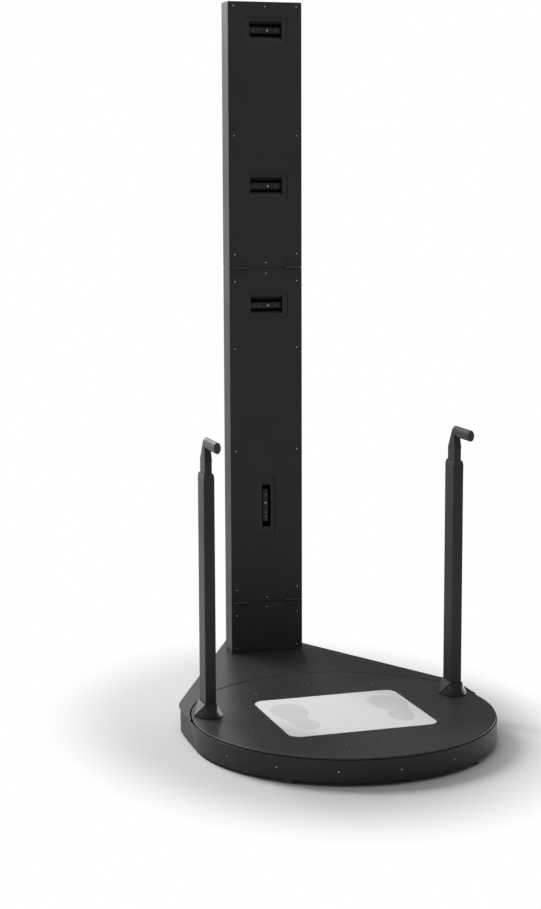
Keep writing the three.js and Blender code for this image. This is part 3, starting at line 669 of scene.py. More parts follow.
def add_disc(
    shape: Shape, place: Vector, outward: Vector, radius: float, height: float, sides: int
) -> Face:
    """Adds a short closed disc.

    Args:
        shape: The mesh that takes it.
        place: The middle of its foot.
        outward: The way that it looks.
        radius: Its radius.
        height: Its height.
        sides: The number of its corners.

    Returns:
        Its top face.
    """
    turn = outward.to_track_quat("Z", "Y").to_matrix().to_4x4()
    matrix = Matrix.Translation(place) @ turn
    ring = bmesh.ops.create_circle(
        shape, cap_ends=True, radius=radius, segments=sides, matrix=matrix
    )
    return raise_face(shape, ring["verts"][0].link_faces[0], height * outward)


def middle_at(node: str, height: float) -> Vector:
    """Returns the middle of a CAD node as seen from above, at a height."""
    low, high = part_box(node)
    return Vector(((low.x + high.x) / 2, (low.y + high.y) / 2, height))


@dataclass(frozen=True)
class EasedEdges:
    """How the sharp edges of a CAD node are eased, as a deburred and coated edge is."""

    width: float = 0.6 * MM
    segments: int = 2
    least_angle: float = math.radians(35)
    sharp_angle: float = SHARP_ANGLE
    square_cuts: bool = False

    @staticmethod
    def _square_up(shape: Shape) -> None:
        """Swaps the slanted lines between the holes of a flat panel for square ones.

        Args:
            shape: The panel's bmesh.
        """
        for axis in (Vector((1, 0, 0)), UP):
            for place in sorted({round(vert.co.dot(axis), CUT_DIGITS) for vert in shape.verts}):
                bmesh.ops.bisect_plane(
                    shape,
                    geom=[*shape.verts, *shape.edges, *shape.faces],
                    dist=WELD,
                    plane_co=place * axis,
                    plane_no=axis,
                )
        slanted = [
            edge
            for edge in shape.edges
            if edge.is_manifold
            and edge.calc_face_angle() < FLAT_ANGLE
            and max(abs(part) for part in (edge.verts[1].co - edge.verts[0].co).normalized())
            < STRAIGHT
        ]
        bmesh.ops.dissolve_edges(shape, edges=slanted, use_verts=True)

    def shape(self, node: str) -> Shape:
        """Copies a CAD node and eases its edges.

        Args:
            node: The node's name.

        Returns:
            The eased copy.
        """
        shape = bmesh.new()
        shape.from_mesh(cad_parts[node].data)
        for face in shape.faces:
            face.material_index = 0
        bmesh.ops.remove_doubles(shape, verts=shape.verts[:], dist=WELD)
        bmesh.ops.dissolve_limit(
            shape,
            angle_limit=FLAT_ANGLE,
            use_dissolve_boundaries=False,
            verts=shape.verts[:],
            edges=shape.edges[:],
        )
        if self.square_cuts:
            self._square_up(shape)
        sharp = [
            edge
            for edge in shape.edges
            if edge.is_manifold and edge.is_convex and edge.calc_face_angle() > self.least_angle
        ]
        ease(shape, sharp, self.width, self.segments)
        return shape

    def piece(
        self, node: str, name: str, body: str, slot: str, finish: Finish
    ) -> bpy.types.Object:
        """Makes the eased copy and lets it stand for its node.

        Args:
            node: The CAD node.
            name: The new piece's name.
            body: The body that it rides on.
            slot: The record's material slot; it is not used.
            finish: Its finish.

        Returns:
            The new object.
        """
        shape = self.shape(node)
        return make_piece(name, shape, body, [finish], [node], self.sharp_angle)


@dataclass(frozen=True)
class Screw:
    """A button-head screw on a flat disc of painted shade that stands for its countersunk recess.
    """

    head_radius: float = 2.3 * MM
    head_height: float = 0.5 * MM
    # The countersunk recess is drawn as a thin flat disc in painted shade
    recess_radius: float = 4.4 * MM
    recess_lift: float = PRINT_LIFT
    socket_radius: float = 0.9 * MM
    socket_depth: float = 0.3 * MM
    sides: int = 14
    steel: Finish = SCREW_STEEL

    # Shares of the head's radius and height that its rounded rim takes
    rim_share: ClassVar[float] = 0.35
    crown_share: ClassVar[float] = 0.15
    # Painted shade: the countersink's disc and the socket's floor
    RECESS_SLOT: ClassVar[int] = 0
    HEAD_SLOT: ClassVar[int] = 1

    def add_to(self, shape: Shape, place: Vector, outward: Vector) -> None:
        """Adds one screw to a mesh.

        Args:
            shape: The mesh that takes the screw.
            place: The middle of the screw on the surface.
            outward: The surface's outward direction.
        """
        # The countersink: a flat disc in painted shade
        add_disc(shape, place, outward, self.recess_radius, self.recess_lift, self.sides)
        crown = add_disc(shape, place, outward, self.head_radius, self.head_height, self.sides)
        for near in {near for vert in crown.verts for near in vert.link_faces}:
            near.material_index = self.HEAD_SLOT
        flat = (1 - self.rim_share) * self.head_radius - self.socket_radius
        steps = (
            (self.rim_share * self.head_radius, self.crown_share * self.head_height),
            (flat, 0.0),
        )
        for thickness, depth in steps:
            ring = bmesh.ops.inset_region(shape, faces=[crown], thickness=thickness, depth=depth)
            for face in ring["faces"]:
                face.material_index = self.HEAD_SLOT
        # The socket's floor is painted shade
        sink_face(shape, crown, -self.socket_depth * outward, self.RECESS_SLOT)


@dataclass
class ScrewSet:
    """The screws of one body that lie in one group."""

    name: str
    body: str
    screw: Screw = field(default_factory=Screw)
    places: list[tuple[Vector, Vector]] = field(default_factory=list)

    def add(self, place: Vector, outward: Vector) -> None:
        """Adds the place and the outward direction of one screw."""
        self.places.append((place, outward))

    def build(self) -> bpy.types.Object:
        """Makes all screws of the set as one piece.

        Returns:
            The new object.
        """
        shape = bmesh.new()
        for place, outward in self.places:
            self.screw.add_to(shape, place, outward)
        bmesh.ops.recalc_face_normals(shape, faces=shape.faces[:])
        # Painted shade for the countersinks and sockets, steel for the heads
        finishes = [PAINTED_SHADE, self.screw.steel]
        return make_piece(
            self.name, shape, self.body, finishes, sharp_angle=SCREW_SHARP_ANGLE
        )


@dataclass
class LevellingFeet:
    """The six levelling feet: a moulded pad and a threaded stem each."""

    rows: tuple[str, ...] = ("front", "middle", "rear")
    stem_radius: float = 5 * MM
    pad_top: float = 8.7 * MM
    edge: float = 1.2 * MM
    thread_pitch: float = 1.5 * MM
    thread_depth: float = 0.5 * MM
    steps: int = 48

    def build(self) -> None:
        """Makes each foot at the place of its CAD node."""
        for row in self.rows:
            for side in Side:
                node = f"foot_{row}_{side.label}"
                low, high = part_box(node)
                shape = self._turned((high.x - low.x) / 2, high.z, middle_at(node, 0))
                name = node.replace("foot", "levelling_pad")
                make_piece(name, shape, "base", [BLACK_PLASTIC], [node])

    def _turned(self, pad_radius: float, top: float, centre: Vector) -> Shape:
        """Turns one foot about its upright axis.

        Args:
            pad_radius: The pad's radius.
            top: The stem's top.
            centre: The foot of the axis.

        Returns:
            The closed mesh.
        """
        shape = bmesh.new()
        profile = self._profile(pad_radius, top)
        verts = [shape.verts.new(centre + Vector((r, 0, z))) for r, z in profile]
        edges = [shape.edges.new(pair) for pair in zip(verts, verts[1:])]
        bmesh.ops.spin(
            shape,
            geom=verts + edges,
            cent=centre,
            axis=UP,
            angle=2 * math.pi,
            steps=self.steps,
            use_merge=True,
        )
        bmesh.ops.remove_doubles(shape, verts=shape.verts[:], dist=WELD)
        bmesh.ops.recalc_face_normals(shape, faces=shape.faces[:])
        return shape

    def _profile(self, pad_radius: float, top: float) -> list[tuple[float, float]]:
        """Gives the half section of one foot.

        Args:
            pad_radius: The pad's radius.
            top: The stem's top.

        Returns:
            Radius and height of each point, from the floor up.
        """
        stem, pad_top, edge = self.stem_radius, self.pad_top, self.edge
        points = [(0.0, 0.0), (pad_radius - edge, 0.0), (pad_radius, edge)]
        points += [(pad_radius, pad_top - 2 * edge), (pad_radius - edge, pad_top - edge / 2)]
        points += [(stem + edge, pad_top), (stem, pad_top)]
        height = pad_top
        while height + self.thread_pitch < top - edge:
            points.append((stem - self.thread_depth, height + self.thread_pitch / 2))
            height += self.thread_pitch
            points.append((stem, height))
        points += [(stem - edge / 2, top), (0.0, top)]
        return points


@dataclass
class Base:
    """The base that stands still: wall, deck, feet and screws."""

    wall_screw_height: float = 40 * MM
    wall_screw_start: float = math.radians(-156)
    wall_screw_step: float = math.radians(22.4)
    wall_screw_count: int = 7
    wall_screw_depth: float = 0.3 * MM
    # Place along Y and height of each screw on a flank
    flank_screws: Pairs = (
        (-130 * MM, 45.5 * MM),
        (-215.5 * MM, 55 * MM),
        (-234 * MM, 57 * MM),
        (-220.5 * MM, 34.5 * MM),
        (-233.5 * MM, 33.5 * MM),
        (-277 * MM, 45 * MM),
    )
    shoulder: float = -38.5 * MM
    flank_taper: float = 4.5 * MM
    deck_screws: Pairs = (
        (-420 * MM, -93.5 * MM),
        (-255 * MM, 114.5 * MM),
        (263 * MM, 131.5 * MM),
        (305 * MM, 212.5 * MM),
    )

    def build(self) -> None:
        """Makes the base's pieces."""
        EasedEdges(0.5 * MM).piece("base_skirt", "skirt_wall", "base", "black_paint", WALL_COAT)
        EasedEdges(0.6 * MM).piece("deck_cover", "deck_sheet", "base", "deck_paint", DECK_COAT)
        LevellingFeet().build()
        self._wall_screws()
        self._deck_screws()

    def _wall_screws(self) -> None:
        """Makes the screws round the wall."""
        centre = middle_at("turntable_disc", self.wall_screw_height)
        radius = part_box("base_skirt")[1].x - self.wall_screw_depth
        flush = Screw(
            head_radius=2.0 * MM,
            head_height=self.wall_screw_depth,
            recess_radius=3.4 * MM,
            recess_lift=0.9 * self.wall_screw_depth,
            socket_depth=0.1 * MM,
        )
        screws = ScrewSet("wall_screws", "base", flush)
        for i in range(self.wall_screw_count):
            angle = self.wall_screw_start + i * self.wall_screw_step
            outward = Vector((math.cos(angle), math.sin(angle), 0))
            screws.add(centre + radius * outward, outward)
        for side in Side:
            for y, z in self.flank_screws:
                place, outward = self._on_flank(centre.y, radius, y)
                screws.add(
                    Vector((side.value * place.x, place.y, z)),
                    Vector((side.value * outward.x, outward.y, 0)),
                )
        screws.build()

    def _on_flank(self, centre: float, radius: float, y: float) -> tuple[Vector, Vector]:
        """Finds a place on the wall's flank and the way it looks.

        Args:
            centre: The front half circle's centre along Y.
            radius: Its radius.
            y: The place along Y.

        Returns:
            The place and the outward direction on the right side.
        """
        if y < centre:
            outward = Vector((math.sqrt(radius**2 - (y - centre) ** 2), y - centre, 0)) / radius
            return Vector((0, centre, 0)) + radius * outward, outward
        slope = self.flank_taper / (self.shoulder - centre)
        place = Vector((radius - slope * (y - centre), y, 0))
        return place, Vector((1, slope, 0)).normalized()

    def _deck_screws(self) -> None:
        """Makes the screws of the deck sheet."""
        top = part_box("deck_cover")[1].z
        screws = ScrewSet("deck_screws", "base", Screw(head_height=0.9 * MM))
        for x, y in self.deck_screws:
            screws.add(Vector((x, y, top)), Facing.UP.direction)
        screws.build()


@dataclass
class Footprints:
    """The two printed footprints of the footplate.

    The stations give the middle line and the half width of a foot along its length, as
    offsets from the plate's middle.
    """

    heel: float = -129.5 * MM
    toe: float = 133 * MM
    roundness: float = 3.2
    points: int = 72
    across: float = 3.5 * MM
    middle_line: Pairs = (
        (-129.5 * MM, 140.5 * MM),
        (-91.5 * MM, 140.5 * MM),
        (-24.5 * MM, 152 * MM),
        (65.5 * MM, 151 * MM),
        (133 * MM, 145.5 * MM),
    )
    half_width: Pairs = (
        (-129.5 * MM, 44 * MM),
        (-91.5 * MM, 42.9 * MM),
        (-24.5 * MM, 32.5 * MM),
        (45.5 * MM, 53.3 * MM),
        (89.5 * MM, 60 * MM),
        (133 * MM, 62 * MM),
    )

    def build(self, plate: str, body: str) -> bpy.types.Object:
        """Prints both feet on the plate.

        Args:
            plate: The plate's CAD node.
            body: The body that it rides on.

        Returns:
            The print as one piece.
        """
        centre = middle_at(plate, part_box(plate)[1].z)
        shape = bmesh.new()
        for side in Side:
            ring = bmesh.ops.create_circle(shape, cap_ends=True, radius=1.0, segments=self.points)
            for vert in ring["verts"]:
                vert.co = centre + self._foot_point(vert.co, side)
            raise_face(shape, ring["verts"][0].link_faces[0], PRINT_LIFT * UP)
        bmesh.ops.recalc_face_normals(shape, faces=shape.faces[:])
        return make_piece("printed_footprints", shape, body, [FOOT_PRINT])

    def _foot_point(self, unit: Vector, side: Side) -> Vector:
        """Moves a point of the unit circle to the outline of a foot.

        Args:
            unit: The point on the unit circle.
            side: Which foot.

        Returns:
            Its place, from the plate's middle.
        """
        along = (self.heel + self.toe) / 2 + unit.y * (self.toe - self.heel) / 2
        fullness = math.sqrt(max(0.0, 1 - abs(unit.y) ** self.roundness))
        half = self._at(self.half_width, along) * fullness
        outward = self._at(self.middle_line, along) + math.copysign(half, unit.x)
        return Vector((self.across + side.value * outward, along, 0))

    @staticmethod
    def _at(stations: Pairs, along: float) -> float:
        """Reads a value between its stations on a smooth line.

        Args:
            stations: Pairs of place and value.
            along: The place.

        Returns:
            The value there.
        """
        for (start, first), (end, second) in zip(stations, stations[1:]):
            if along <= end:
                share = max(0.0, (along - start) / (end - start))
                return first + (second - first) * (1 - math.cos(math.pi * share)) / 2
        return stations[-1][1]


@dataclass
class Turntable:
    """The disc with the footplate on its load cells."""

    rim_screw_radius: float = 316 * MM
    rim_screw_count: int = 20
    # Places of the screws round the footplate, from the disc's middle
    plate_screws: Pairs = (
        (227 * MM, 137.5 * MM),
        (227 * MM, -10 * MM),
        (227 * MM, -157 * MM),
        (175 * MM, -224 * MM),
        (181 * MM, 251 * MM),
    )

    def build(self) -> None:
        """Makes the turntable's pieces."""
        disc = EasedEdges(0.8 * MM)
        disc.piece("turntable_disc", "turning_disc", "turntable", "deck_paint", DECK_COAT)
        plate = EasedEdges(0.9 * MM, segments=3)
        plate.piece("footplate", "footplate_glass", "turntable", "white_glass", WHITE_GLASS)
        Footprints().build("footplate", "turntable")
        self._disc_screws()

    def _disc_screws(self) -> None:
        """Makes the screws of the disc."""
        centre = middle_at("turntable_disc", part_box("turntable_disc")[1].z)
        screws = ScrewSet("disc_screws", "turntable", Screw(head_height=0.9 * MM))
        for i in range(self.rim_screw_count):
            angle = 2 * math.pi * i / self.rim_screw_count
            out = self.rim_screw_radius * Vector((math.cos(angle), math.sin(angle), 0))
            screws.add(centre + out, Facing.UP.direction)
        for side in Side:
            for x, y in self.plate_screws:
                screws.add(centre + Vector((side.value * x, y, 0)), Facing.UP.direction)
        screws.build()


@dataclass
class HandPost:
    """A hand-hold post with its sliding handle."""

    side: Side
    mark_height: float = 789 * MM
    hole_shift: float = -3 * MM
    # The latch hole is a disc of painted shade round a small head
    hole_radius: float = 2.8 * MM
    slide_half: float = 10.8 * MM
    inner_marks: tuple[float, float] = (15.7 * MM, -14.8 * MM)
    gusset_thickness: float = 3 * MM
    gusset_edge: float = 0.3 * MM
    # From the middle of the foot on the disc's top
    gusset_corners: tuple[Point, ...] = (
        (-16 * MM, -36 * MM, 37.5 * MM),
        (-16 * MM, 36 * MM, 37.5 * MM),
        (-40 * MM, -3 * MM, 1.2 * MM),
        (-40 * MM, -7 * MM, 1.2 * MM),
    )

    def build(self) -> None:
        """Makes the post's pieces and those of its handle."""
        label = self.side.label
        handle = f"{label}_handle"
        crisp = EasedEdges(0.5 * MM, sharp_angle=math.radians(24))
        cast = EasedEdges(0.4 * MM, least_angle=math.radians(24), sharp_angle=math.radians(14))
        grip = EasedEdges(2.0 * MM, segments=3)
        cast.piece(f"{label}_post_foot", f"{label}_post_base", "turntable", "deck_paint", FOOT_COAT)
        self._gusset()
        rows = (
            (crisp, "post_tube", "post", "turntable", "black_paint", BLACK_COAT),
            (crisp, "post_collar", "post_bush", "turntable", "black_plastic", BLACK_PLASTIC),
            (crisp, "handle_tube", "sliding_tube", handle, "black_paint", BLACK_COAT),
            (grip, "handle_grip", "hand_grip", handle, "black_plastic", BLACK_PLASTIC),
        )
        for eased, node, name, body, slot, finish in rows:
            eased.piece(f"{label}_{node}", f"{label}_{name}", body, slot, finish)
        self._marks(handle)

    def _gusset(self) -> None:
        """Makes the flat three-cornered plate on the left side of the post's foot."""
        label = self.side.label
        centre = middle_at(f"{label}_post_foot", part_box("turntable_disc")[1].z)
        shape = bmesh.new()
        inner = [shape.verts.new(centre + Vector(corner)) for corner in self.gusset_corners]
        bottom = shape.faces.new(inner)
        bottom.normal_update()
        outward = math.copysign(1.0, -bottom.normal.x) * bottom.normal.copy()
        raise_face(shape, bottom, self.gusset_thickness * outward)
        bmesh.ops.recalc_face_normals(shape, faces=shape.faces[:])
        ease(shape, shape.edges[:], self.gusset_edge, segments=2, clamp=True)
        make_piece(f"{label}_post_gusset", shape, "turntable", [GUSSET_COAT])

    def _marks(self, body: str) -> None:
        """Makes the latch hole and the two screws of the sliding tube, each a small head on a disc
        of painted shade.

        Args:
            body: The handle's body.
        """
        label = self.side.label
        centre = middle_at(f"{label}_post_tube", self.mark_height)
        outward = Vector((self.side.value, 0, 0))
        small = Screw(
            head_radius=1.8 * MM,
            head_height=0.6 * MM,
            recess_radius=self.hole_radius,
            steel=BLACK_STEEL,
        )
        marks = ScrewSet(f"{label}_slide_screws", body, small)
        outer = centre + Vector((0, self.hole_shift, 0))
        marks.add(outer + self.slide_half * outward, outward)
        for shift in self.inner_marks:
            inner = centre + Vector((0, shift, 0))
            marks.add(inner - self.slide_half * outward, -outward)
        marks.build()


@dataclass
class MastSection:
    """One section of the mast: a rear channel and a front panel with its screws.

    The screws' heights are counted from the deck.
    """

    name: str
    body: str
    edge_screws: tuple[float, ...]
    middle_screws: tuple[float, ...]
    side_screws: tuple[float, ...] = ()
    edge_place: float = 101 * MM
    side_depth: float = 47 * MM
    edge: float = 0.8 * MM

    def build(self) -> None:
        """Makes the section's pieces."""
        name, body = self.name, self.body
        panel = f"mast_{name}_panel"
        folded = EasedEdges(self.edge)
        folded.piece(
            f"mast_{name}_channel", f"{name}_mast_channel", body, "black_paint", BLACK_COAT
        )
        flat = EasedEdges(self.edge, square_cuts=True)
        flat.piece(panel, f"{name}_mast_front", body, "black_paint", BLACK_COAT)
        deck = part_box("deck_cover")[1].z
        low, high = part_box(panel)
        screws = ScrewSet(f"{name}_mast_screws", body)
        for height in self.edge_screws:
            for side in Side:
                place = Vector((side.value * self.edge_place, low.y, deck + height))
                screws.add(place, Facing.FRONT.direction)
        for height in self.middle_screws:
            screws.add(Vector((0, low.y, deck + height)), Facing.FRONT.direction)
        for height in self.side_screws:
            for side in Side:
                place = Vector((side.value * high.x, low.y + self.side_depth, deck + height))
                screws.add(place, Vector((side.value, 0, 0)))
        screws.build()


@dataclass
class SeamHinges:
    """The two butt hinges of a seam with their leaf screws."""

    seam: str
    fixed_body: str
    moving_body: str
    screw_spacing: float = 28 * MM
    leaf_reach: float = 20 * MM
    leaf_depth: float = 1.2 * MM

    def build(self) -> None:
        """Makes the leaves of both hinges."""
        leaf = EasedEdges(0.3 * MM, least_angle=math.radians(50))
        small = Screw(
            head_radius=1.9 * MM, head_height=0.5 * MM, recess_radius=2.6 * MM, steel=BLACK_STEEL
        )
        for kind, body in (("fixed", self.fixed_body), ("moving", self.moving_body)):
            screws = ScrewSet(f"{self.seam}_{kind}_leaf_screws", body, small)
            for side in Side:
                node = f"{self.seam}_hinge_{side.label}_{kind}_leaf"
                leaf.piece(node, f"{node}_plate", body, "black_paint", BLACK_COAT)
                self._leaf_screws(node, kind, screws)
            screws.build()

    def _leaf_screws(self, node: str, kind: str, screws: ScrewSet) -> None:
        """Adds the screws of one leaf.

        Args:
            node: The leaf's CAD node.
            kind: Which leaf, fixed or moving.
            screws: The set that takes them.
        """
        low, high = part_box(node)
        half = self.leaf_reach / 2
        height = low.z + half if kind == "fixed" else high.z - half
        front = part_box("mast_lower_panel")[0].y + self.leaf_depth
        for step in (-0.5, 0.5):
            x = (low.x + high.x) / 2 + step * self.screw_spacing
            screws.add(Vector((x, front, height)), Facing.FRONT.direction)


@dataclass
class CameraWindow:
    """A window of the mast with its insert, its depth camera and the camera's lenses."""

    place: str
    body: str
    is_tall: bool = False
    lens_places: tuple[float, ...] = (-37.6 * MM, -22.8 * MM, 34.7 * MM)
    lamp_place: float = 7.9 * MM
    rim_width: float = 0.7 * MM
    glass_radius: float = 1.9 * MM
    lamp_radius: float = 2.6 * MM
    lens_rise: float = 0.5 * MM
    lens_drop: float = 0.3 * MM
    # Faces deeper than this behind the insert's front are painted black as painted shade
    lining_depth: float = 12 * MM
    tall_lining_depth: float = 2.4 * MM
    sides: int = 24

    # The material number of the trough's painted shade
    LINING_SLOT: ClassVar[int] = 1
    GLASS_SLOT: ClassVar[int] = 1
    LAMP_SLOT: ClassVar[int] = 2

    def build(self) -> None:
        """Makes the window's pieces."""
        self._trough()
        shell = EasedEdges(1.2 * MM, segments=3)
        name = f"{self.place}_camera_shell"
        camera = f"{self.place}_depth_camera"
        shell.piece(camera, name, self.body, "camera_grey", CAMERA_SHELL)
        self._lenses(camera)

    def _trough(self) -> None:
        """Makes the insert: its frame coated, the deep faces of its trough painted black as painted
        shade.
        """
        node = f"{self.place}_window_insert"
        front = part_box(node)[0].y
        shape = EasedEdges(0.5 * MM).shape(node)
        depth = self.tall_lining_depth if self.is_tall else self.lining_depth
        # Painted shade: the trough's deep faces are painted near-black
        for face in shape.faces:
            if face.calc_center_bounds().y > front + depth:
                face.material_index = self.LINING_SLOT
        name = f"{self.place}_window_trough"
        make_piece(name, shape, self.body, [INSERT_COAT, PAINTED_SHADE], [node])

    def _lenses(self, camera: str) -> None:
        """Makes the lenses and the lamp window on the camera's front face.

        Args:
            camera: The camera's CAD node.
        """
        low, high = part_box(camera)
        middle = (low + high) / 2
        front = Vector((middle.x, low.y, middle.z))
        along = UP if self.is_tall else Vector((1, 0, 0))
        shape = bmesh.new()
        for shift in self.lens_places:
            self._add_lens(shape, front + shift * along, self.glass_radius, self.GLASS_SLOT)
        self._add_lens(shape, front + self.lamp_place * along, self.lamp_radius, self.LAMP_SLOT)
        bmesh.ops.recalc_face_normals(shape, faces=shape.faces[:])
        finishes = [LENS_RIM, LENS_GLASS, DIFFUSER]
        make_piece(f"{self.place}_camera_lenses", shape, self.body, finishes)

    def _add_lens(self, shape: Shape, place: Vector, radius: float, slot: int) -> None:
        """Adds one rim with its glass.

        Args:
            shape: The mesh that takes it.
            place: Its middle on the front face.
            radius: The glass's radius.
            slot: The glass's material number.
        """
        outward = Facing.FRONT.direction
        rim_radius = radius + self.rim_width
        glass = add_disc(shape, place, outward, rim_radius, self.lens_rise, self.sides)
        bmesh.ops.inset_region(shape, faces=[glass], thickness=self.rim_width)
        sink_face(shape, glass, -self.lens_drop * outward, slot)


@dataclass
class Mast:
    """The folding mast with its hinges and windows."""

    sections: tuple[MastSection, ...] = (
        MastSection("foot", "base", (0.1235, 0.0175), (0.147,)),
        MastSection(
            "lower",
            "mast_lower",
            (1.186, 0.977, 0.6535, 0.2065),
            (1.211, 0.179),
            side_screws=(0.474, 0.317),
        ),
        MastSection("upper", "mast_upper", (2.024, 1.634, 1.27), (2.023, 1.244)),
    )
    hinges: tuple[SeamHinges, ...] = (
        SeamHinges("lower_seam", "base", "mast_lower"),
        SeamHinges("upper_seam", "mast_lower", "mast_upper"),
    )
    windows: tuple[CameraWindow, ...] = (
        CameraWindow("top", "mast_upper"),
        CameraWindow("chest", "mast_upper"),
        CameraWindow("hip", "mast_lower"),
        CameraWindow("knee", "mast_lower", is_tall=True),
    )

    def build(self) -> None:
        """Makes the mast's pieces."""
        for part in (*self.sections, *self.hinges, *self.windows):
            part.build()


@dataclass
class PowerEntry:
    """The inlet and its rocker in the rear wall."""

    edge: float = 0.4 * MM

    def build(self) -> None:
        """Makes the inlet and the rocker."""
        moulded = EasedEdges(self.edge)
        moulded.piece("power_inlet", "inlet_module", "base", "black_plastic", BLACK_PLASTIC)
        moulded.piece("power_rocker", "mains_rocker", "rocker", "black_plastic", BLACK_PLASTIC)


@dataclass
class InnerParts:
    """The CAD nodes inside the base and the mast, which keep their shapes."""

    finishes: dict[Finish, tuple[str, ...]] = field(
        default_factory=lambda: {
            ZINC_SHEET: ("base_pan", "gearbox_housing", "mast_support", "power_supply"),
            GROUND_STEEL: (
                "bearing_lower_race",
                "bearing_upper_race",
                "ball_cage",
                "turntable_gear",
                "drive_pinion",
                "drive_motor",
                "load_cell_1",
                "load_cell_2",
                "load_cell_3",
                "load_cell_4",
            ),
            GREEN_BOARD: ("control_board",),
            CASE_PLASTIC: ("mast_hub",),
        }
    )

    def dress(self) -> None:
        """Gives each node its finish."""
        for finish, nodes in self.finishes.items():
            for node in nodes:
                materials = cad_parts[node].data.materials
                if not materials:
                    materials.append(finish.material())
                for i in range(len(materials)):
                    materials[i] = finish.material()
                LOG.info("node %s wears %s", node, finish.name)


def aim(place: Point, target: Point) -> Euler:
    """Returns the turn that points something's -Z axis from its place to a target."""
    return (Vector(target) - Vector(place)).to_track_quat("-Z", "Y").to_euler()


def lay_sheet(name: str, half_size: float, cloth: bpy.types.Material) -> bpy.types.Object:
    """Lays one square sheet of the studio, which isn't part of the scanner.

    Args:
        name: Its name.
        half_size: Half its side.
        cloth: Its material.

    Returns:
        The new object.
    """
    shape = bmesh.new()
    bmesh.ops.create_grid(shape, x_segments=1, y_segments=1, size=half_size)
    mesh = make_mesh(name, shape)
    mesh.materials.append(cloth)
    sheet = add_object(name, mesh)
    return sheet


@dataclass
class Softbox:
    """A rectangular studio light."""

    name: str
    place: Point
    target: Point
    size: tuple[float, float]
    power: float

    def build(self) -> None:
        """Hangs the light and turns it to its target."""
        light = bpy.data.lights.new(self.name, "AREA")
        light.shape = "RECTANGLE"
        light.size, light.size_y = self.size
        light.energy = self.power
        lamp = add_object(self.name, light)
        lamp.location = self.place
        lamp.rotation_euler = aim(self.place, self.target)


@dataclass
class Screen:
    """A studio screen, darker or lighter than the white round it, that only reflections see."""

    name: str
    place: Point
    target: Point
    size: tuple[float, float]
    level: float

    def build(self) -> None:
        """Stands the screen up and turns it to its target."""
        cloth = new_material(f"{self.name}_cloth")
        tree = cloth.node_tree
        shine = add_node(tree, "ShaderNodeEmission", {"Color": WHITE, "Strength": self.level})
        add_node(tree, "ShaderNodeOutputMaterial", links={"Surface": shine.outputs[0]})
        screen = lay_sheet(self.name, 0.5, cloth)
        screen.data.transform(Matrix.Diagonal((*self.size, 1.0, 1.0)))
        screen.location = self.place
        screen.rotation_euler = aim(self.place, self.target)
        screen.visible_camera = False
        screen.visible_diffuse = False
        screen.visible_shadow = False


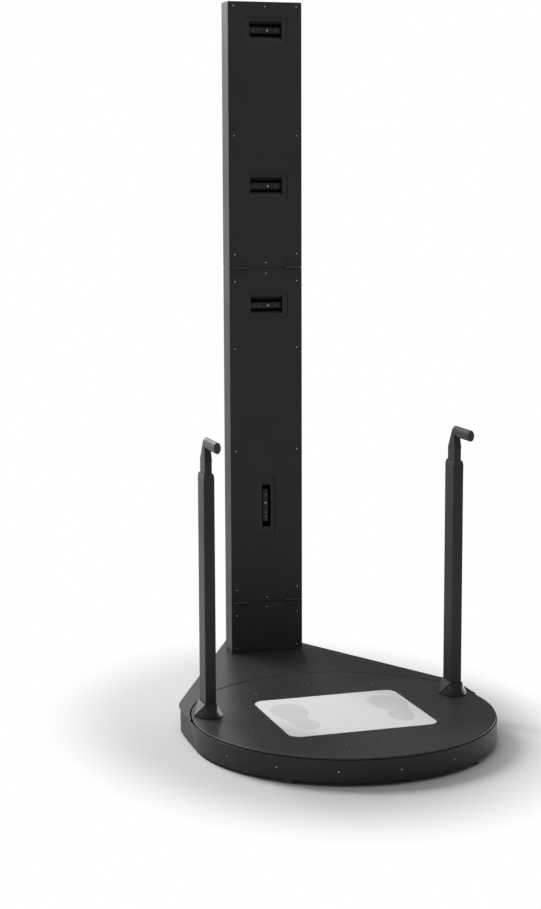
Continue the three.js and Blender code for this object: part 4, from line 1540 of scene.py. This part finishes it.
@dataclass
class Studio:
    """Camera, floor, background and lights."""

    camera_place: Point = (-1.7675, -5.1947, 1.6041)
    camera_pan: float = math.radians(-17.416)
    camera_tilt: float = math.radians(-8.488)
    camera_roll: float = math.radians(-0.209)
    lens: float = 75.248
    sensor: float = 36.0
    sight: float = 100.0
    floor_size: float = 30.0
    fade_centre: Point = (-0.05, -0.05, 0.0)
    fade_reach: Point = (0.8, 1.1, 1.0)
    fade_start: float = 0.6
    fade_end: float = 1.0
    ambient: float = 0.1
    softboxes: tuple[Softbox, ...] = (
        Softbox("overhead_softbox", (0.0, -0.4, 4.6), (0.0, -0.2, 0.0), (2.4, 2.4), 36.0),
        Softbox("left_softbox", (-1.9, 3.1, 3.6), (0.0, 0.0, 0.3), (2.2, 2.0), 230.0),
        Softbox("rear_right_softbox", (3.4, 2.0, 0.2), (0.4, -0.2, 0.1), (1.6, 0.3), 70.0),
    )
    screens: tuple[Screen, ...] = (
        Screen("front_screen", (1.6, -6.4, 1.4), (0.0, 0.4, 1.2), (8.0, 5.0), 0.25),
        Screen("rear_screen", (2.6, 3.6, 1.6), (0.0, -0.4, 0.1), (3.6, 2.6), 0.03),
        Screen("left_screen", (-2.4, 5.4, 1.2), (-0.4, -0.2, 0.1), (2.4, 1.6), 1.6),
    )

    def build(self) -> None:
        """Sets up the whole studio."""
        self._camera()
        self._floor()
        self._world()
        for thing in (*self.softboxes, *self.screens):
            thing.build()
        bpy.context.scene.view_settings.view_transform = "Standard"

    def _camera(self) -> None:
        """Places the camera at the photograph's viewpoint."""
        data = bpy.data.cameras.new("studio_camera")
        data.lens = self.lens
        data.sensor_fit = "AUTO"
        data.sensor_width = self.sensor
        data.clip_end = self.sight
        camera = add_object("studio_camera", data)
        camera.matrix_world = (
            Matrix.Translation(self.camera_place)
            @ Matrix.Rotation(self.camera_pan, 4, "Z")
            @ Matrix.Rotation(math.pi / 2 + self.camera_tilt, 4, "X")
            @ Matrix.Rotation(self.camera_roll, 4, "Z")
        )
        bpy.context.scene.camera = camera

    def _seen_directly(self, tree: Tree) -> Socket:
        """Tells camera, glossy and transmission rays from the rest.

        Args:
            tree: The tree that takes the nodes.

        Returns:
            One for those rays, zero for the others.
        """
        path = add_node(tree, "ShaderNodeLightPath")
        seen = path.outputs["Is Camera Ray"]
        for kind in ("Is Glossy Ray", "Is Transmission Ray"):
            either = {0: seen, 1: path.outputs[kind]}
            seen = add_node(tree, "ShaderNodeMath", links=either, operation="MAXIMUM").outputs[0]
        return seen

    def _floor(self) -> None:
        """Lays a pale paper floor that turns to plain white further out."""
        made = new_material("pale_paper")
        tree = made.node_tree
        paper = add_node(tree, "ShaderNodeBsdfDiffuse", {"Color": linear(Tint.PAPER)})
        white = add_node(tree, "ShaderNodeEmission", {"Color": WHITE, "Strength": 1.0})
        distance = add_node(tree, "ShaderNodeTexCoord").outputs["Object"]
        steps = (("SUBTRACT", self.fade_centre), ("DIVIDE", self.fade_reach))
        for operation, value in steps:
            distance = add_node(
                tree, "ShaderNodeVectorMath", {1: value}, {0: distance}, operation=operation
            ).outputs["Vector"]
        length = add_node(tree, "ShaderNodeVectorMath", links={0: distance}, operation="LENGTH")
        fade = add_node(
            tree,
            "ShaderNodeMapRange",
            {"From Min": self.fade_start, "From Max": self.fade_end},
            {"Value": length.outputs["Value"]},
            interpolation_type="SMOOTHSTEP",
        )
        both = {0: fade.outputs["Result"], 1: self._seen_directly(tree)}
        share = add_node(tree, "ShaderNodeMath", links=both, operation="MULTIPLY").outputs[0]
        looks = {0: share, 1: paper.outputs[0], 2: white.outputs[0]}
        mixed = add_node(tree, "ShaderNodeMixShader", links=looks)
        add_node(tree, "ShaderNodeOutputMaterial", links={"Surface": mixed.outputs[0]})
        lay_sheet("paper_floor", self.floor_size / 2, made)

    def _world(self) -> None:
        """Makes the surroundings: white where they are seen, dim as a light."""
        world = bpy.data.worlds.new("studio_surroundings")
        bpy.context.scene.world = world
        world.use_nodes = True
        tree = world.node_tree
        tree.nodes.clear()
        span = {"To Min": self.ambient, "To Max": 1.0}
        level = add_node(tree, "ShaderNodeMapRange", span, {"Value": self._seen_directly(tree)})
        strength = {"Strength": level.outputs["Result"]}
        light = add_node(tree, "ShaderNodeBackground", {"Color": WHITE}, strength)
        add_node(tree, "ShaderNodeOutputWorld", links={"Surface": light.outputs[0]})


def main() -> None:
    """Builds the scanner's looks and the studio round it."""
    logging.basicConfig(level=logging.INFO, format="%(name)s: %(message)s")
    Studio().build()
    Base().build()
    Turntable().build()
    for side in Side:
        HandPost(side).build()
    Mast().build()
    PowerEntry().build()
    InnerParts().dress()


if __name__ == "__main__":
    main()
